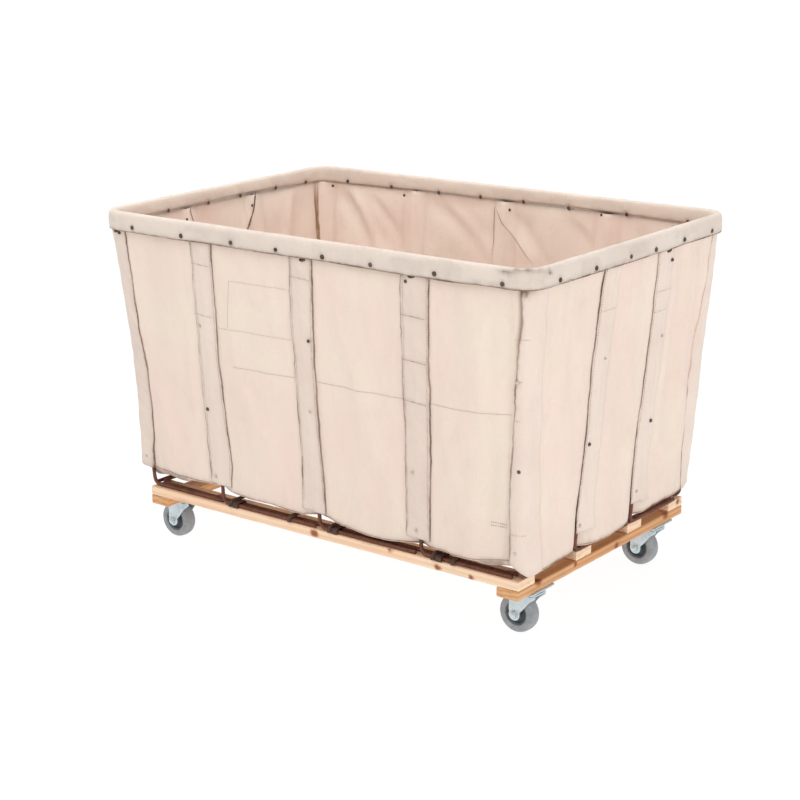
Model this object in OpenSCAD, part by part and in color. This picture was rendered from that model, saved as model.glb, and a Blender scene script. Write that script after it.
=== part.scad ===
// Canvas basket truck: a laundry cart on a wooden base with four swivel casters.
//
// Frame: origin on the floor under the middle of the cart, +X along the long
// side, +Y towards the back, +Z up. All sizes are in millimetres.

/* [Rim] */
// Outer length of the rim, left to right
rim_length = 1220; // [1180:1:1260]
// Outer width of the rim, front to back
rim_width = 812; // [790:1:840]
// Height of the top of the rim above the floor
rim_height = 838; // [780:1:900]
// Height of the canvas binding that wraps the rim
binding_height = 43; // [40:1:50]
// Outer radius of the rim's corners
rim_corner_radius = 60; // [58:1:64]

/* [Wooden base] */
// Length of the boards
base_length = 1080; // [1076:1:1086]
// Width of the base, front to back
base_width = 690; // [688:1:694]
// Thickness of every board
board_thickness = 22; // [20:1:24]
// Width of the four long boards
long_board_width = 64; // [60:1:68]
// Width of the two cross boards that carry the casters
cross_board_width = 56; // [54:1:60]
// Y position of the middle of the front inner board
inner_board_front_y = -88; // [-110:1:-70]
// Y position of the middle of the back inner board
inner_board_back_y = 127; // [100:1:150]

/* [Casters] */
// Diameter of the wheels over the tyre
wheel_diameter = 88.9; // [84:0.1:92]
// Width of the tyre
wheel_width = 31.8; // [28:0.1:33]
// Height from the floor to the top of the caster plates
caster_height = 110; // [109:1:114]
// Distance from the swivel axis back to the wheel axle
caster_trail = 30; // [26:1:32]
// Distance of each swivel axis from the middle of the cart along X
caster_x = 512; // [511:1:513]
// Distance of each swivel axis from the middle of the cart along Y
caster_y = 253; // [246:1:256]
// Diameter of the wheel axle bolts
axle_diameter = 9.5; // [8:0.1:10]

/* [Spring steel frame] */
// Diameter of all the frame rods
rod_diameter = 9; // [8:0.1:9]
// X of the uprights along the front and the back
upright_x = [-303, -3, 290];
// Y of the uprights along the left and the right
upright_y = [-115, 125];
// X of the five rods that cross under the canvas floor
transverse_x = [-276, -93, 26, 318, 372];

/* [Canvas] */
// Width of the pocket straps over the uprights
strap_width = 66; // [56:1:74]
// Height above the floor at which the pocket straps end
strap_bottom = 206; // [195:1:230]
// Thickness of the canvas and the straps
canvas_thickness = 2; // [1.5:0.1:2]

/* [Rivets] */
// X of the rim rivets along the front and the back
rim_rivet_x = [-498, -350, -199, -68, 63, 194, 358, 525];
// Y of the rim rivets along the left and the right
rim_rivet_y = [-306, -180, -44, 66, 195, 316];
// Heights of the rivets on each strap
strap_rivet_z = [774, 600, 402, 220];

/* [Hidden] */

// colours
pine = [0.93, 0.76, 0.58];
pine_dark = [0.87, 0.66, 0.46];
rust = [0.38, 0.23, 0.17];
canvas_c = [0.92, 0.86, 0.80];
strap_c = [0.90, 0.83, 0.77];
binding_c = [0.89, 0.86, 0.82];
rivet_c = [0.30, 0.24, 0.22];
zinc = [0.78, 0.84, 0.86];
tyre_c = [0.55, 0.55, 0.57];
core_c = [0.26, 0.31, 0.33];

// numbers of sides
n_rod = 14;
n_bend = 24;
n_hole = 16;
n_rivet = 14;
n_wheel = 36;

// rim
rl = rim_length / 2;
rw = rim_width / 2;
rim_t = 20;                       // thickness of the rim, canvas included
wall = 2;                         // binding canvas
rail_t = 4;                       // steel rail inside the binding
rail_out = wall + 0.1;
z_rim = rim_height;
z_bind = rim_height - binding_height;

// levels in the base
z_cross = caster_height;
z_long = z_cross + board_thickness;
z_deck = z_long + board_thickness;
rr = rod_diameter / 2;
z_ring = z_deck + rr + 0.1;
z_trans = z_ring + rod_diameter + 0.1;
z_floor = z_trans + rr + 1;
floor_t = 2.5;

// rod axes: uprights start just outside the base ring and lean out to the rim
z_top = rim_height - 23;
x_base = base_length / 2 + 3.5;
y_base = base_width / 2 - 5.85;
x_top = rl - rail_out - rail_t - rr - 0.1;
y_top = rw - rail_out - rail_t - rr - 0.1;
rise = z_top - z_ring;
sx = (x_top - x_base) / rise;
sy = (y_top - y_base) / rise;
// corner uprights stand on the diagonal through the rim's rounded corner
lat = (x_base - y_base) / sqrt(2);
arc_r = rim_corner_radius - rail_out - rail_t - rr - 0.15;
cx = rl - rim_corner_radius;
cy = rw - rim_corner_radius;
off_l = lat - (cx - cy) / sqrt(2);
corner_top = [cx + (sqrt(arc_r * arc_r - off_l * off_l) + off_l) / sqrt(2),
              cy + (sqrt(arc_r * arc_r - off_l * off_l) - off_l) / sqrt(2)];
sc = (corner_top[0] - x_base) / rise;
d_base = (x_base + y_base) / sqrt(2);
sd = sc * sqrt(2);

function rx(z) = x_base + sx * (z - z_ring);
function ry(z) = y_base + sy * (z - z_ring);
function rd(z) = d_base + sd * (z - z_ring);

// canvas faces, measured from the plane of the rod axes
f_out = -(rr + 0.1);
f_in = f_out - canvas_thickness;
s_in = rr + 0.15;
s_out = s_in + canvas_thickness;
seam_x = base_length / 2 - 9;

corners = [["fl", -1, -1], ["fr", 1, -1], ["bl", -1, 1], ["br", 1, 1]];
screw_x = [492, 514];
screw_y = [-305, inner_board_front_y, inner_board_back_y, 305];
lag = [22, 36];
corner_rivet = [15, 8, 1, -10];   // from the end of the base, height by height

// ---------- helpers ----------

// flat rounded rectangle
module round_rect(lx, ly, r, n = 48) {
  square([2 * lx - 2 * r, 2 * ly], center = true);
  square([2 * lx, 2 * ly - 2 * r], center = true);
  for (a = [-1, 1], b = [-1, 1])
    translate([a * (lx - r), b * (ly - r)]) circle(r = r, $fn = n);
}

// everything inside the leaning planes of the basket, moved out by o
module inside(o, z0, z1, od = undef) {
  e = od == undef ? o : od;
  intersection() {
    rotate([90, 0, 0]) linear_extrude(height = 1400, center = true)
      polygon([[-rx(z0) - o, z0], [rx(z0) + o, z0], [rx(z1) + o, z1], [-rx(z1) - o, z1]]);
    rotate([90, 0, 90]) linear_extrude(height = 1600, center = true)
      polygon([[-ry(z0) - o, z0], [ry(z0) + o, z0], [ry(z1) + o, z1], [-ry(z1) - o, z1]]);
    rotate([0, 0, 45]) rotate([90, 0, 0])
      linear_extrude(height = 1800, center = true)
        polygon([[-rd(z0) - e, z0], [rd(z0) + e, z0], [rd(z1) + e, z1], [-rd(z1) - e, z1]]);
    rotate([0, 0, -45]) rotate([90, 0, 0])
      linear_extrude(height = 1800, center = true)
        polygon([[-rd(z0) - e, z0], [rd(z0) + e, z0], [rd(z1) + e, z1], [-rd(z1) - e, z1]]);
  }
}

// a flat strip on one wall: turn is 0 for the front, 90 right, 180 back, -90 left
module strip(turn, u0, u1, z0, z1, o0, o1) {
  side = turn == 0 || turn == 180;
  function r(z) = side ? ry(z) : rx(z);
  rotate([0, 0, turn]) translate([u0, 0, 0]) rotate([90, 0, 90])
    linear_extrude(height = u1 - u0)
      polygon([[-r(z0) - o0, z0], [-r(z1) - o0, z1], [-r(z1) - o1, z1], [-r(z0) - o1, z0]]);
}

// rod bent to an L: the foot runs along +X, the leg leans back by `along`
module bent_rod(along, leg, foot, bend = 22) {
  turn = 90 - along;
  t = bend * tan(turn / 2);
  translate([t, 0, bend]) rotate([90, 0, 0]) rotate([0, 0, 270 - turn])
    rotate_extrude(angle = turn, $fn = n_bend)
      translate([bend, 0]) circle(r = rr, $fn = n_rod);
  // the straight parts start just inside the bend
  rotate([0, -along, 0]) translate([0, 0, t - 0.5]) cylinder(r = rr - 0.02, h = leg - t + 0.5, $fn = n_rod);
  translate([t - 0.5, 0, 0]) rotate([0, 90, 0]) cylinder(r = rr - 0.02, h = foot - t + 0.5, $fn = n_rod);
}

// ---------- wooden base ----------

module deck_holes(z0, z1) {
  for (a = [-1, 1], x = screw_x, y = screw_y)
    translate([a * x, y, z0]) cylinder(r = 2.02, h = z1 - z0, $fn = n_hole);
}

module long_board(y, w) {
  color(pine) difference() {
    translate([-base_length / 2, y - w / 2, z_long]) cube([base_length, w, board_thickness]);
    deck_holes(z_long - 1, z_deck + 1);
  }
}

module cross_board(s) {
  color(pine_dark) difference() {
    translate([s * (base_length - cross_board_width) / 2 - cross_board_width / 2, -base_width / 2, z_cross])
      cube([cross_board_width, base_width, board_thickness - 0.02]);
    deck_holes(z_deck - 38.05, z_deck);
    for (c = corners, a = [-1, 1], b = [-1, 1])
      translate([c[1] * caster_x + a * lag[0], c[2] * caster_y + b * lag[1], z_cross - 1])
        cylinder(r = 3.02, h = 19.02, $fn = n_hole);
  }
}

module deck_screws() {
  color(rivet_c) for (a = [-1, 1], x = screw_x, y = screw_y)
    translate([a * x, y, z_deck - 38]) {
      cylinder(r = 2, h = 38.5, $fn = n_hole);
      translate([0, 0, 38.02]) cylinder(r = 4, h = 1.2, $fn = n_hole);
    }
}

// ---------- spring steel frame ----------

ring_x = base_length / 2 - 9.5;
ring_y = base_width / 2 - 23;
ring_r = 26;

module base_ring() {
  color(rust) translate([0, 0, z_ring]) {
    for (b = [-1, 1]) translate([-ring_x + ring_r, b * ring_y, 0]) rotate([0, 90, 0])
      cylinder(r = rr, h = 2 * (ring_x - ring_r), $fn = n_rod);
    for (a = [-1, 1]) translate([a * ring_x, ring_y - ring_r, 0]) rotate([90, 0, 0])
      cylinder(r = rr, h = 2 * (ring_y - ring_r), $fn = n_rod);
    for (q = [0:3]) {
      a = q == 0 || q == 3 ? 1 : -1;
      b = q < 2 ? 1 : -1;
      translate([a * (ring_x - ring_r), b * (ring_y - ring_r), 0]) rotate([0, 0, q * 90])
        rotate_extrude(angle = 90, $fn = n_bend) translate([ring_r, 0]) circle(r = rr, $fn = n_rod);
    }
  }
}

// straight rod across the base, its ends hooked over the feet of the uprights
module transverse_rod(x) {
  hook = rod_diameter + 0.1;
  translate([x, 0, 0]) {
    translate([0, y_base, z_trans]) rotate([90, 0, 0]) cylinder(r = rr, h = 2 * y_base, $fn = n_rod);
    for (b = [0, 180]) rotate([0, 0, b]) translate([0, y_base, z_ring])
      rotate([90, 0, 90]) rotate_extrude(angle = 90, $fn = n_bend)
        translate([hook, 0]) circle(r = rr, $fn = n_rod);
  }
}

module transverse_rods() {
  color(rust) for (x = transverse_x) transverse_rod(x);
}

// steel bands folded over the two rods and nailed down the face of the board
module rod_clips() {
  top = z_ring + rr + 0.1;
  face = base_width / 2 + 0.05;
  back = ring_y - rr - 0.3;
  color(rust) for (b = [0, 180], i = [0, 2, 3]) rotate([0, 0, b])
    translate([(b == 0 ? 1 : -1) * transverse_x[i] + (b == 0 ? 6 : -22), 0, 0]) rotate([90, 0, 90])
      linear_extrude(height = 16)
        polygon([[-face - 1.5, z_deck - 14], [-face, z_deck - 14], [-face, top], [-back, top],
                 [-back, z_deck + 0.05], [-back + 1.5, z_deck + 0.05],
                 [-back + 1.5, top + 1.5], [-face - 1.5, top + 1.5]]);
}

// one upright part way along a wall
module wall_upright(turn, u, foot) {
  side = turn == 0 || turn == 180;
  s = side ? sy : sx;
  rotate([0, 0, turn]) translate([u, side ? -y_base : -x_base, z_ring]) rotate([atan(s), 0, 0])
    bent_rod(0, rise * sqrt(1 + s * s), foot);
}

// one corner upright; its foot runs along the wall it is turned to
module corner_upright(turn, foot) {
  side = turn == 0 || turn == 180;
  color(rust) rotate([0, 0, turn])
    translate([side ? -x_base : -y_base, side ? -y_base : -x_base, z_ring]) rotate([atan(sc), 0, 0])
      bent_rod(atan(sc / sqrt(1 + sc * sc)), rise * sqrt(1 + 2 * sc * sc), foot);
}

module uprights_front() {
  ends = [upright_x[1], upright_x[2], x_base - rr];
  color(rust) for (i = [0:2]) wall_upright(0, upright_x[i], ends[i] - upright_x[i] - rr - 2);
}

module uprights_back() {
  ends = [-x_base + rr, upright_x[0], upright_x[1]];
  color(rust) for (i = [0:2]) wall_upright(180, -upright_x[i], upright_x[i] - ends[i] - rr - 2);
}

module uprights_right() {
  ends = [upright_y[1], y_base - rr];
  color(rust) for (i = [0:1]) wall_upright(90, upright_y[i], ends[i] - upright_y[i] - rr - 2);
}

module uprights_left() {
  ends = [-y_base + rr, upright_y[0]];
  color(rust) for (i = [0:1]) wall_upright(-90, -upright_y[i], upright_y[i] - ends[i] - rr - 2);
}

// flat steel rail hidden in the rim
module rim_rail() {
  color(rust) difference() {
    translate([0, 0, z_bind + 4]) linear_extrude(height = binding_height - 7) difference() {
      round_rect(rl - rail_out, rw - rail_out, rim_corner_radius - rail_out);
      round_rect(rl - rail_out - rail_t, rw - rail_out - rail_t, rim_corner_radius - rail_out - rail_t);
    }
    rim_rivet_places() translate([0, 0, -3]) cylinder(r = 2.05, h = 30, $fn = n_rivet);
  }
}

// ---------- canvas ----------

module walls() {
  difference() {
    inside(f_out, z_floor, z_bind - 0.1);
    inside(f_in, z_floor - 1, z_bind + 1);
  }
}

module canvas_long(b) {
  color(canvas_c) intersection() {
    walls();
    translate([-seam_x, b < 0 ? -600 : 200, 0]) cube([2 * seam_x, 400, 1000]);
  }
}

module canvas_end(a) {
  color(canvas_c) intersection() {
    walls();
    translate([a < 0 ? -1000 - seam_x : seam_x, -600, 0]) cube([1000, 1200, 1000]);
  }
}

module canvas_floor() {
  color(canvas_c) intersection() {
    inside(f_in - 0.05, z_floor, z_floor + 20);
    translate([-700, -600, z_floor]) cube([1400, 1200, floor_t]);
  }
}

// strap sewn over an upright: two flat edges and a raised pocket for the rod
module pocket_strap(turn, u) {
  w = strap_width / 2;
  p = rr + 0.3;
  z1 = z_bind - 0.1;
  t = canvas_thickness;
  strip(turn, u - w, u - p, strap_bottom, z1, f_out + 0.05, f_out + 0.05 + t);
  strip(turn, u + p, u + w, strap_bottom, z1, f_out + 0.05, f_out + 0.05 + t);
  strip(turn, u - p - t, u - p, strap_bottom, z1, f_out + 0.05, s_out);
  strip(turn, u + p, u + p + t, strap_bottom, z1, f_out + 0.05, s_out);
  strip(turn, u - p - t, u + p + t, strap_bottom, z1, s_in, s_out);
}

// strap round a corner, over the corner upright
module corner_strap(a, b) {
  z0 = strap_bottom;
  z1 = z_bind - 0.1;
  t = canvas_thickness;
  p = rr + 0.3;
  mirror([a < 0 ? 1 : 0, 0, 0]) mirror([0, b < 0 ? 1 : 0, 0]) difference() {
    union() {
      intersection() {
        inside(f_out + 0.05 + t, z0, z1);
        translate([base_length / 2 - 16, base_width / 2 - 62, 0]) cube([200, 200, 1000]);
      }
      intersection() {
        inside(60, z0, z1, s_out);
        rotate([0, 0, 45]) translate([500, -lat - p - t, 0]) cube([400, 2 * (p + t), 1000]);
      }
    }
    inside(f_out + 0.05, z0 - 1, z1 + 1);
    intersection() {
      inside(60, z0 - 1, z1 + 1, s_in);
      rotate([0, 0, 45]) translate([500, -lat - p, 0]) cube([400, 2 * p, 1000]);
    }
  }
}

module straps_front() { color(strap_c) for (u = upright_x) pocket_strap(0, u); }
module straps_back() { color(strap_c) for (u = upright_x) pocket_strap(180, -u); }
module straps_right() { color(strap_c) for (u = upright_y) pocket_strap(90, u); }
module straps_left() { color(strap_c) for (u = upright_y) pocket_strap(-90, -u); }
module straps_corner() { color(strap_c) for (c = corners) corner_strap(c[1], c[2]); }

// canvas binding folded over the rim
module rim_binding() {
  r = rim_corner_radius;
  color(binding_c) difference() {
    translate([0, 0, z_bind]) linear_extrude(height = binding_height) difference() {
      round_rect(rl, rw, r);
      round_rect(rl - rim_t, rw - rim_t, r - rim_t);
    }
    translate([0, 0, z_bind - 1]) linear_extrude(height = binding_height - wall + 1) difference() {
      round_rect(rl - wall, rw - wall, r - wall);
      round_rect(rl - rim_t + wall, rw - rim_t + wall, r - rim_t + wall);
    }
    rim_rivet_places() translate([0, 0, -3]) cylinder(r = 2.05, h = 30, $fn = n_rivet);
  }
}

// ---------- rivets ----------

// child is drawn with +Z pointing into the rim, starting at its outer face
module rim_rivet_places() {
  z = z_bind + 10;
  for (x = rim_rivet_x) {
    translate([x, -rw, z]) rotate([-90, 0, 0]) children();
    translate([x, rw, z]) rotate([90, 0, 0]) children();
  }
  for (y = rim_rivet_y) {
    translate([-rl, y, z]) rotate([0, 90, 0]) children();
    translate([rl, y, z]) rotate([0, -90, 0]) children();
  }
}

module rim_rivets() {
  color(rivet_c) rim_rivet_places() {
    translate([0, 0, -0.5]) cylinder(r = 2, h = rim_t + 1, $fn = n_rivet);
    translate([0, 0, -2.4]) cylinder(r1 = 3, r2 = 4.6, h = 2.35, $fn = n_rivet);
    translate([0, 0, rim_t + 0.05]) cylinder(r1 = 4.6, r2 = 3.4, h = 1.6, $fn = n_rivet);
  }
}

// rivet heads on the flat edge of a strap
module wall_rivet(turn, u, z) {
  side = turn == 0 || turn == 180;
  s = side ? sy : sx;
  r = side ? ry(z) : rx(z);
  rotate([0, 0, turn]) translate([u, -r - f_out - canvas_thickness - 0.15, z])
    rotate([90 + atan(s), 0, 0]) cylinder(r1 = 4.4, r2 = 3, h = 2.2, $fn = n_rivet);
}

module strap_rivets() {
  color(rivet_c) {
    for (z = strap_rivet_z) {
      for (u = upright_x) {
        wall_rivet(0, u + 18, z);
        wall_rivet(180, -u + 18, z);
      }
      for (u = upright_y) {
        wall_rivet(90, u + 18, z);
        wall_rivet(-90, -u + 18, z);
      }
    }
    // on the corner straps, clear of the corner uprights
    for (i = [0, 2, 3], b = [0, 180], a = [-1, 1])
      wall_rivet(b, a * (base_length / 2 + corner_rivet[i]), strap_rivet_z[i]);
  }
}

// ---------- casters ----------

// place children at one caster: fl, fr, bl or br
module at_caster(c) {
  translate([c[1] * caster_x, c[2] * caster_y, 0]) children();
}

z_axle = wheel_diameter / 2;
ar = axle_diameter / 2;
z_plate = caster_height - 3;
z_crown = caster_height - 14;     // underside of the fork's crown
crown_t = 3;
leg_in = wheel_width / 2 + 3.1;   // inner face of the fork legs
leg_t = 3;

module caster_plate() {
  color(zinc) difference() {
    union() {
      translate([0, 0, z_plate]) linear_extrude(height = 2.95) round_rect(32, 46, 6, 20);
      translate([0, 0, z_plate - 4]) cylinder(r1 = 24, r2 = 28, h = 4, $fn = n_wheel);
      translate([0, 0, z_crown - 3]) cylinder(r = 6, h = 12, $fn = 24);
      translate([0, 0, z_crown - 6]) cylinder(r = 9, h = 5.9, $fn = 24);
    }
    for (a = [-1, 1], b = [-1, 1]) translate([a * lag[0], b * lag[1], z_plate - 1])
      cylinder(r = 3.3, h = 6, $fn = n_hole);
  }
}

module caster_screws() {
  color(zinc) for (c = corners) at_caster(c)
    for (a = [-1, 1], b = [-1, 1]) translate([a * lag[0], b * lag[1], 0]) {
      translate([0, 0, z_plate - 4.05]) cylinder(r = 6, h = 4, $fn = 6);
      translate([0, 0, z_plate - 1]) cylinder(r = 3, h = 21, $fn = n_hole);
    }
}

// outline of one fork leg, seen from the side
module leg_outline() {
  t = caster_trail;
  translate([-t, z_axle]) circle(r = 14, $fn = 32);
  polygon([[-t - 14, z_axle], [-t - 13, z_crown - 12], [-t - 6, z_crown + crown_t],
           [24, z_crown + crown_t], [24, z_crown - 5], [8, z_crown - 16], [-t + 13.2, z_axle + 5],
           [-t + 14, z_axle]]);
}

module yoke() {
  color(zinc) difference() {
    union() {
      for (b = [-1, 1]) translate([0, b > 0 ? leg_in + leg_t : -leg_in, 0]) rotate([90, 0, 0])
        linear_extrude(height = leg_t) leg_outline();
      translate([-caster_trail - 6, -leg_in - leg_t, z_crown])
        cube([caster_trail + 30, 2 * (leg_in + leg_t), crown_t]);
    }
    translate([0, 0, z_crown - 1]) cylinder(r = 6.05, h = 10, $fn = 24);
    translate([-caster_trail, 60, z_axle]) rotate([90, 0, 0])
      cylinder(r = ar + 0.05, h = 120, $fn = 24);
  }
}

// lower ball race under the plate
module race() {
  color(zinc) translate([0, 0, z_crown + crown_t]) difference() {
    cylinder(r1 = 22, r2 = 25.5, h = 3.8, $fn = n_wheel);
    translate([0, 0, -1]) cylinder(r = 12, h = 6, $fn = 24);
  }
}

module axle() {
  color(zinc) translate([-caster_trail, 0, z_axle]) rotate([90, 0, 0]) {
    translate([0, 0, -leg_in - leg_t - 10]) cylinder(r = ar, h = 2 * (leg_in + leg_t) + 11, $fn = 24);
    translate([0, 0, leg_in + leg_t + 0.02]) cylinder(r = 8, h = 5.5, $fn = 6);
    translate([0, 0, -leg_in - leg_t - 7.02]) difference() {
      cylinder(r = 8, h = 7, $fn = 6);
      translate([0, 0, -1]) cylinder(r = ar + 0.02, h = 9, $fn = 24);
    }
  }
}

module core() {
  h = wheel_width / 2 - 2;
  g = leg_in - 0.4;
  color(core_c) translate([-caster_trail, 0, z_axle]) rotate([90, 0, 0])
    rotate_extrude($fn = n_wheel)
      polygon([[ar + 0.05, -g], [12, -g], [12, -5], [21, -5], [23, -h], [27, -h],
               [27, h], [23, h], [21, 5], [12, 5], [12, g], [ar + 0.05, g]]);
}

module tyre() {
  h = wheel_width / 2;
  color(tyre_c) translate([-caster_trail, 0, z_axle]) rotate([90, 0, 0])
    rotate_extrude($fn = n_wheel)
      polygon([[27, -h + 1.5], [29, -h], [z_axle - 5, -h], [z_axle - 1.2, -h + 3.5], [z_axle, -h + 9],
               [z_axle, h - 9], [z_axle - 1.2, h - 3.5], [z_axle - 5, h], [29, h], [27, h - 1.5]]);
}

// ---------- nodes ----------

long_board(-(base_width - long_board_width) / 2, long_board_width);  // front_rail
long_board((base_width - long_board_width) / 2, long_board_width);  // back_rail
long_board(inner_board_front_y, long_board_width - 2);  // inner_board_front
long_board(inner_board_back_y, long_board_width - 2);  // inner_board_back
cross_board(-1);  // cross_board_left
cross_board(1);  // cross_board_right
deck_screws();
base_ring();
transverse_rods();
rod_clips();
corner_upright(0, x_base + upright_x[0] - rr - 2);  // upright_corner_fl
corner_upright(90, y_base + upright_y[0] - rr - 2);  // upright_corner_fr
corner_upright(-90, y_base - upright_y[1] - rr - 2);  // upright_corner_bl
corner_upright(180, x_base - upright_x[2] - rr - 2);  // upright_corner_br
uprights_front();
uprights_back();
uprights_left();
uprights_right();
rim_rail();
canvas_long(-1);  // canvas_front
canvas_long(1);  // canvas_back
canvas_end(-1);  // canvas_left
canvas_end(1);  // canvas_right
canvas_floor();
straps_front();
straps_back();
straps_left();
straps_right();
straps_corner();
rim_binding();
rim_rivets();
strap_rivets();
caster_screws();
at_caster(corners[0]) caster_plate();  // caster_plate_fl
at_caster(corners[1]) caster_plate();  // caster_plate_fr
at_caster(corners[2]) caster_plate();  // caster_plate_bl
at_caster(corners[3]) caster_plate();  // caster_plate_br
at_caster(corners[0]) yoke();  // yoke_fl
at_caster(corners[1]) yoke();  // yoke_fr
at_caster(corners[2]) yoke();  // yoke_bl
at_caster(corners[3]) yoke();  // yoke_br
at_caster(corners[0]) race();  // race_fl
at_caster(corners[1]) race();  // race_fr
at_caster(corners[2]) race();  // race_bl
at_caster(corners[3]) race();  // race_br
at_caster(corners[0]) axle();  // axle_fl
at_caster(corners[1]) axle();  // axle_fr
at_caster(corners[2]) axle();  // axle_bl
at_caster(corners[3]) axle();  // axle_br
at_caster(corners[0]) core();  // core_fl
at_caster(corners[1]) core();  // core_fr
at_caster(corners[2]) core();  // core_bl
at_caster(corners[3]) core();  // core_br
at_caster(corners[0]) tyre();  // tyre_fl
at_caster(corners[1]) tyre();  // tyre_fr
at_caster(corners[2]) tyre();  // tyre_bl
at_caster(corners[3]) tyre();  // tyre_br
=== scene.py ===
import bpy, math
import numpy as np
from mathutils import Vector, Matrix


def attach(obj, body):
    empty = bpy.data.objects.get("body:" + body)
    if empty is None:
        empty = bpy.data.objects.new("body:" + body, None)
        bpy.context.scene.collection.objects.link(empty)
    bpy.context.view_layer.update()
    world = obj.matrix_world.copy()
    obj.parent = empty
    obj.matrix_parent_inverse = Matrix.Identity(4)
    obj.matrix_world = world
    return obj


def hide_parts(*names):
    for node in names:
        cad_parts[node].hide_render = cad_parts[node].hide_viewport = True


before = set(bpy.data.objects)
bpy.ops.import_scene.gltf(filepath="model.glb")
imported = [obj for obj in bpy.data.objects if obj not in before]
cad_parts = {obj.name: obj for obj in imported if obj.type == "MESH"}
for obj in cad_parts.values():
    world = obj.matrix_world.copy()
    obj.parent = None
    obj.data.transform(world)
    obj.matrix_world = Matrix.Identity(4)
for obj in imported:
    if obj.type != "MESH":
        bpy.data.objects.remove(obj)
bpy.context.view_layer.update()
PI = math.pi

# ------------------------------------------------------------------ noise

def _hash(a, b, seed):
    n = (a.astype(np.int64) * 73856093) ^ (b.astype(np.int64) * 19349663) ^ (seed * 83492791)
    n = (n ^ (n >> 13)) * 1274126177 & 0x7fffffff
    n = n ^ (n >> 16)
    return (n & 0xffff) / 32767.5 - 1.0


def noise2(x, y, seed=1, px=None):
    """Smooth noise in -1..1; px makes it repeat after px cells in x."""
    x, y = np.broadcast_arrays(np.asarray(x, float), np.asarray(y, float))
    xi, yi = np.floor(x), np.floor(y)
    fx, fy = x - xi, y - yi
    fx = fx ** 3 * (fx * (fx * 6 - 15) + 10)
    fy = fy ** 3 * (fy * (fy * 6 - 15) + 10)
    x0, x1 = xi, xi + 1
    if px:
        x0, x1 = x0 % px, x1 % px
    a, b = _hash(x0, yi, seed), _hash(x1, yi, seed)
    c, d = _hash(x0, yi + 1, seed), _hash(x1, yi + 1, seed)
    return (a + (b - a) * fx) * (1 - fy) + (c + (d - c) * fx) * fy


def sstep(x, a, b):
    t = np.clip((np.asarray(x, float) - a) / (b - a), 0, 1)
    return t * t * (3 - 2 * t)


def gauss(x, w):
    return np.exp(-(np.asarray(x, float) / w) ** 2)

# ------------------------------------------------------------------ meshes


def add_mesh(name, co, faces, mats, attrs=None, face_mat=None, smooth=True):
    me = bpy.data.meshes.new(name)
    co = np.asarray(co, float)
    me.vertices.add(len(co))
    me.vertices.foreach_set("co", co.astype(np.float32).ravel())
    sizes = np.array([len(f) for f in faces], np.int32)
    flat = np.fromiter((i for f in faces for i in f), np.int32, int(sizes.sum()))
    me.loops.add(len(flat))
    me.loops.foreach_set("vertex_index", flat)
    me.polygons.add(len(sizes))
    me.polygons.foreach_set("loop_start", np.concatenate([[0], np.cumsum(sizes)[:-1]]).astype(np.int32))
    me.polygons.foreach_set("loop_total", sizes)
    me.update(calc_edges=True)
    me.polygons.foreach_set("use_smooth", np.full(len(sizes), smooth, bool))
    for m in mats:
        me.materials.append(m)
    if face_mat is not None:
        me.polygons.foreach_set("material_index", np.asarray(face_mat, np.int32))
    for key, value in (attrs or {}).items():
        value = np.asarray(value, np.float32)
        if value.ndim == 2:
            at = me.attributes.new(key, "FLOAT_VECTOR", "POINT")
            at.data.foreach_set("vector", value.ravel())
        else:
            at = me.attributes.new(key, "FLOAT", "POINT")
            at.data.foreach_set("value", value)
    me.validate()
    ob = bpy.data.objects.new(name, me)
    bpy.context.scene.collection.objects.link(ob)
    return ob


def grid_faces(rows, cols, wrap_rows=False, wrap_cols=False, base=0, flip=False):
    r = np.arange(rows if wrap_rows else rows - 1)
    c = np.arange(cols if wrap_cols else cols - 1)
    R, C = np.meshgrid(r, c, indexing="ij")
    R1, C1 = (R + 1) % rows, (C + 1) % cols
    f = np.stack([R * cols + C, R * cols + C1, R1 * cols + C1, R1 * cols + C], -1).reshape(-1, 4) + base
    return (f[:, ::-1] if flip else f).tolist()


class Soup:
    """Collects many small shapes into one mesh."""

    def __init__(self):
        self.co, self.faces, self.fm, self.at = [], [], [], {}
        self.n = 0

    def add(self, co, faces, mat=0, **attrs):
        co = np.asarray(co, float)
        self.co.append(co)
        for f in faces:
            self.faces.append([i + self.n for i in f])
        self.fm += [mat] * len(faces)
        for k, v in attrs.items():
            self.at.setdefault(k, []).append((self.n, np.broadcast_to(np.asarray(v, float), (len(co),) + np.shape(v)[-1:] if np.ndim(v) == 2 or (np.ndim(v) == 1 and len(v) == 3 and k == "fab") else (len(co),))))
        self.n += len(co)

    def build(self, name, mats, smooth=True):
        attrs = {}
        for k, parts in self.at.items():
            w = parts[0][1].shape
            out = np.zeros((self.n, 3) if len(w) == 2 else self.n)
            for s, v in parts:
                out[s:s + len(v)] = v
            attrs[k] = out
        return add_mesh(name, np.concatenate(self.co), self.faces, mats, attrs, self.fm, smooth)


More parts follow.
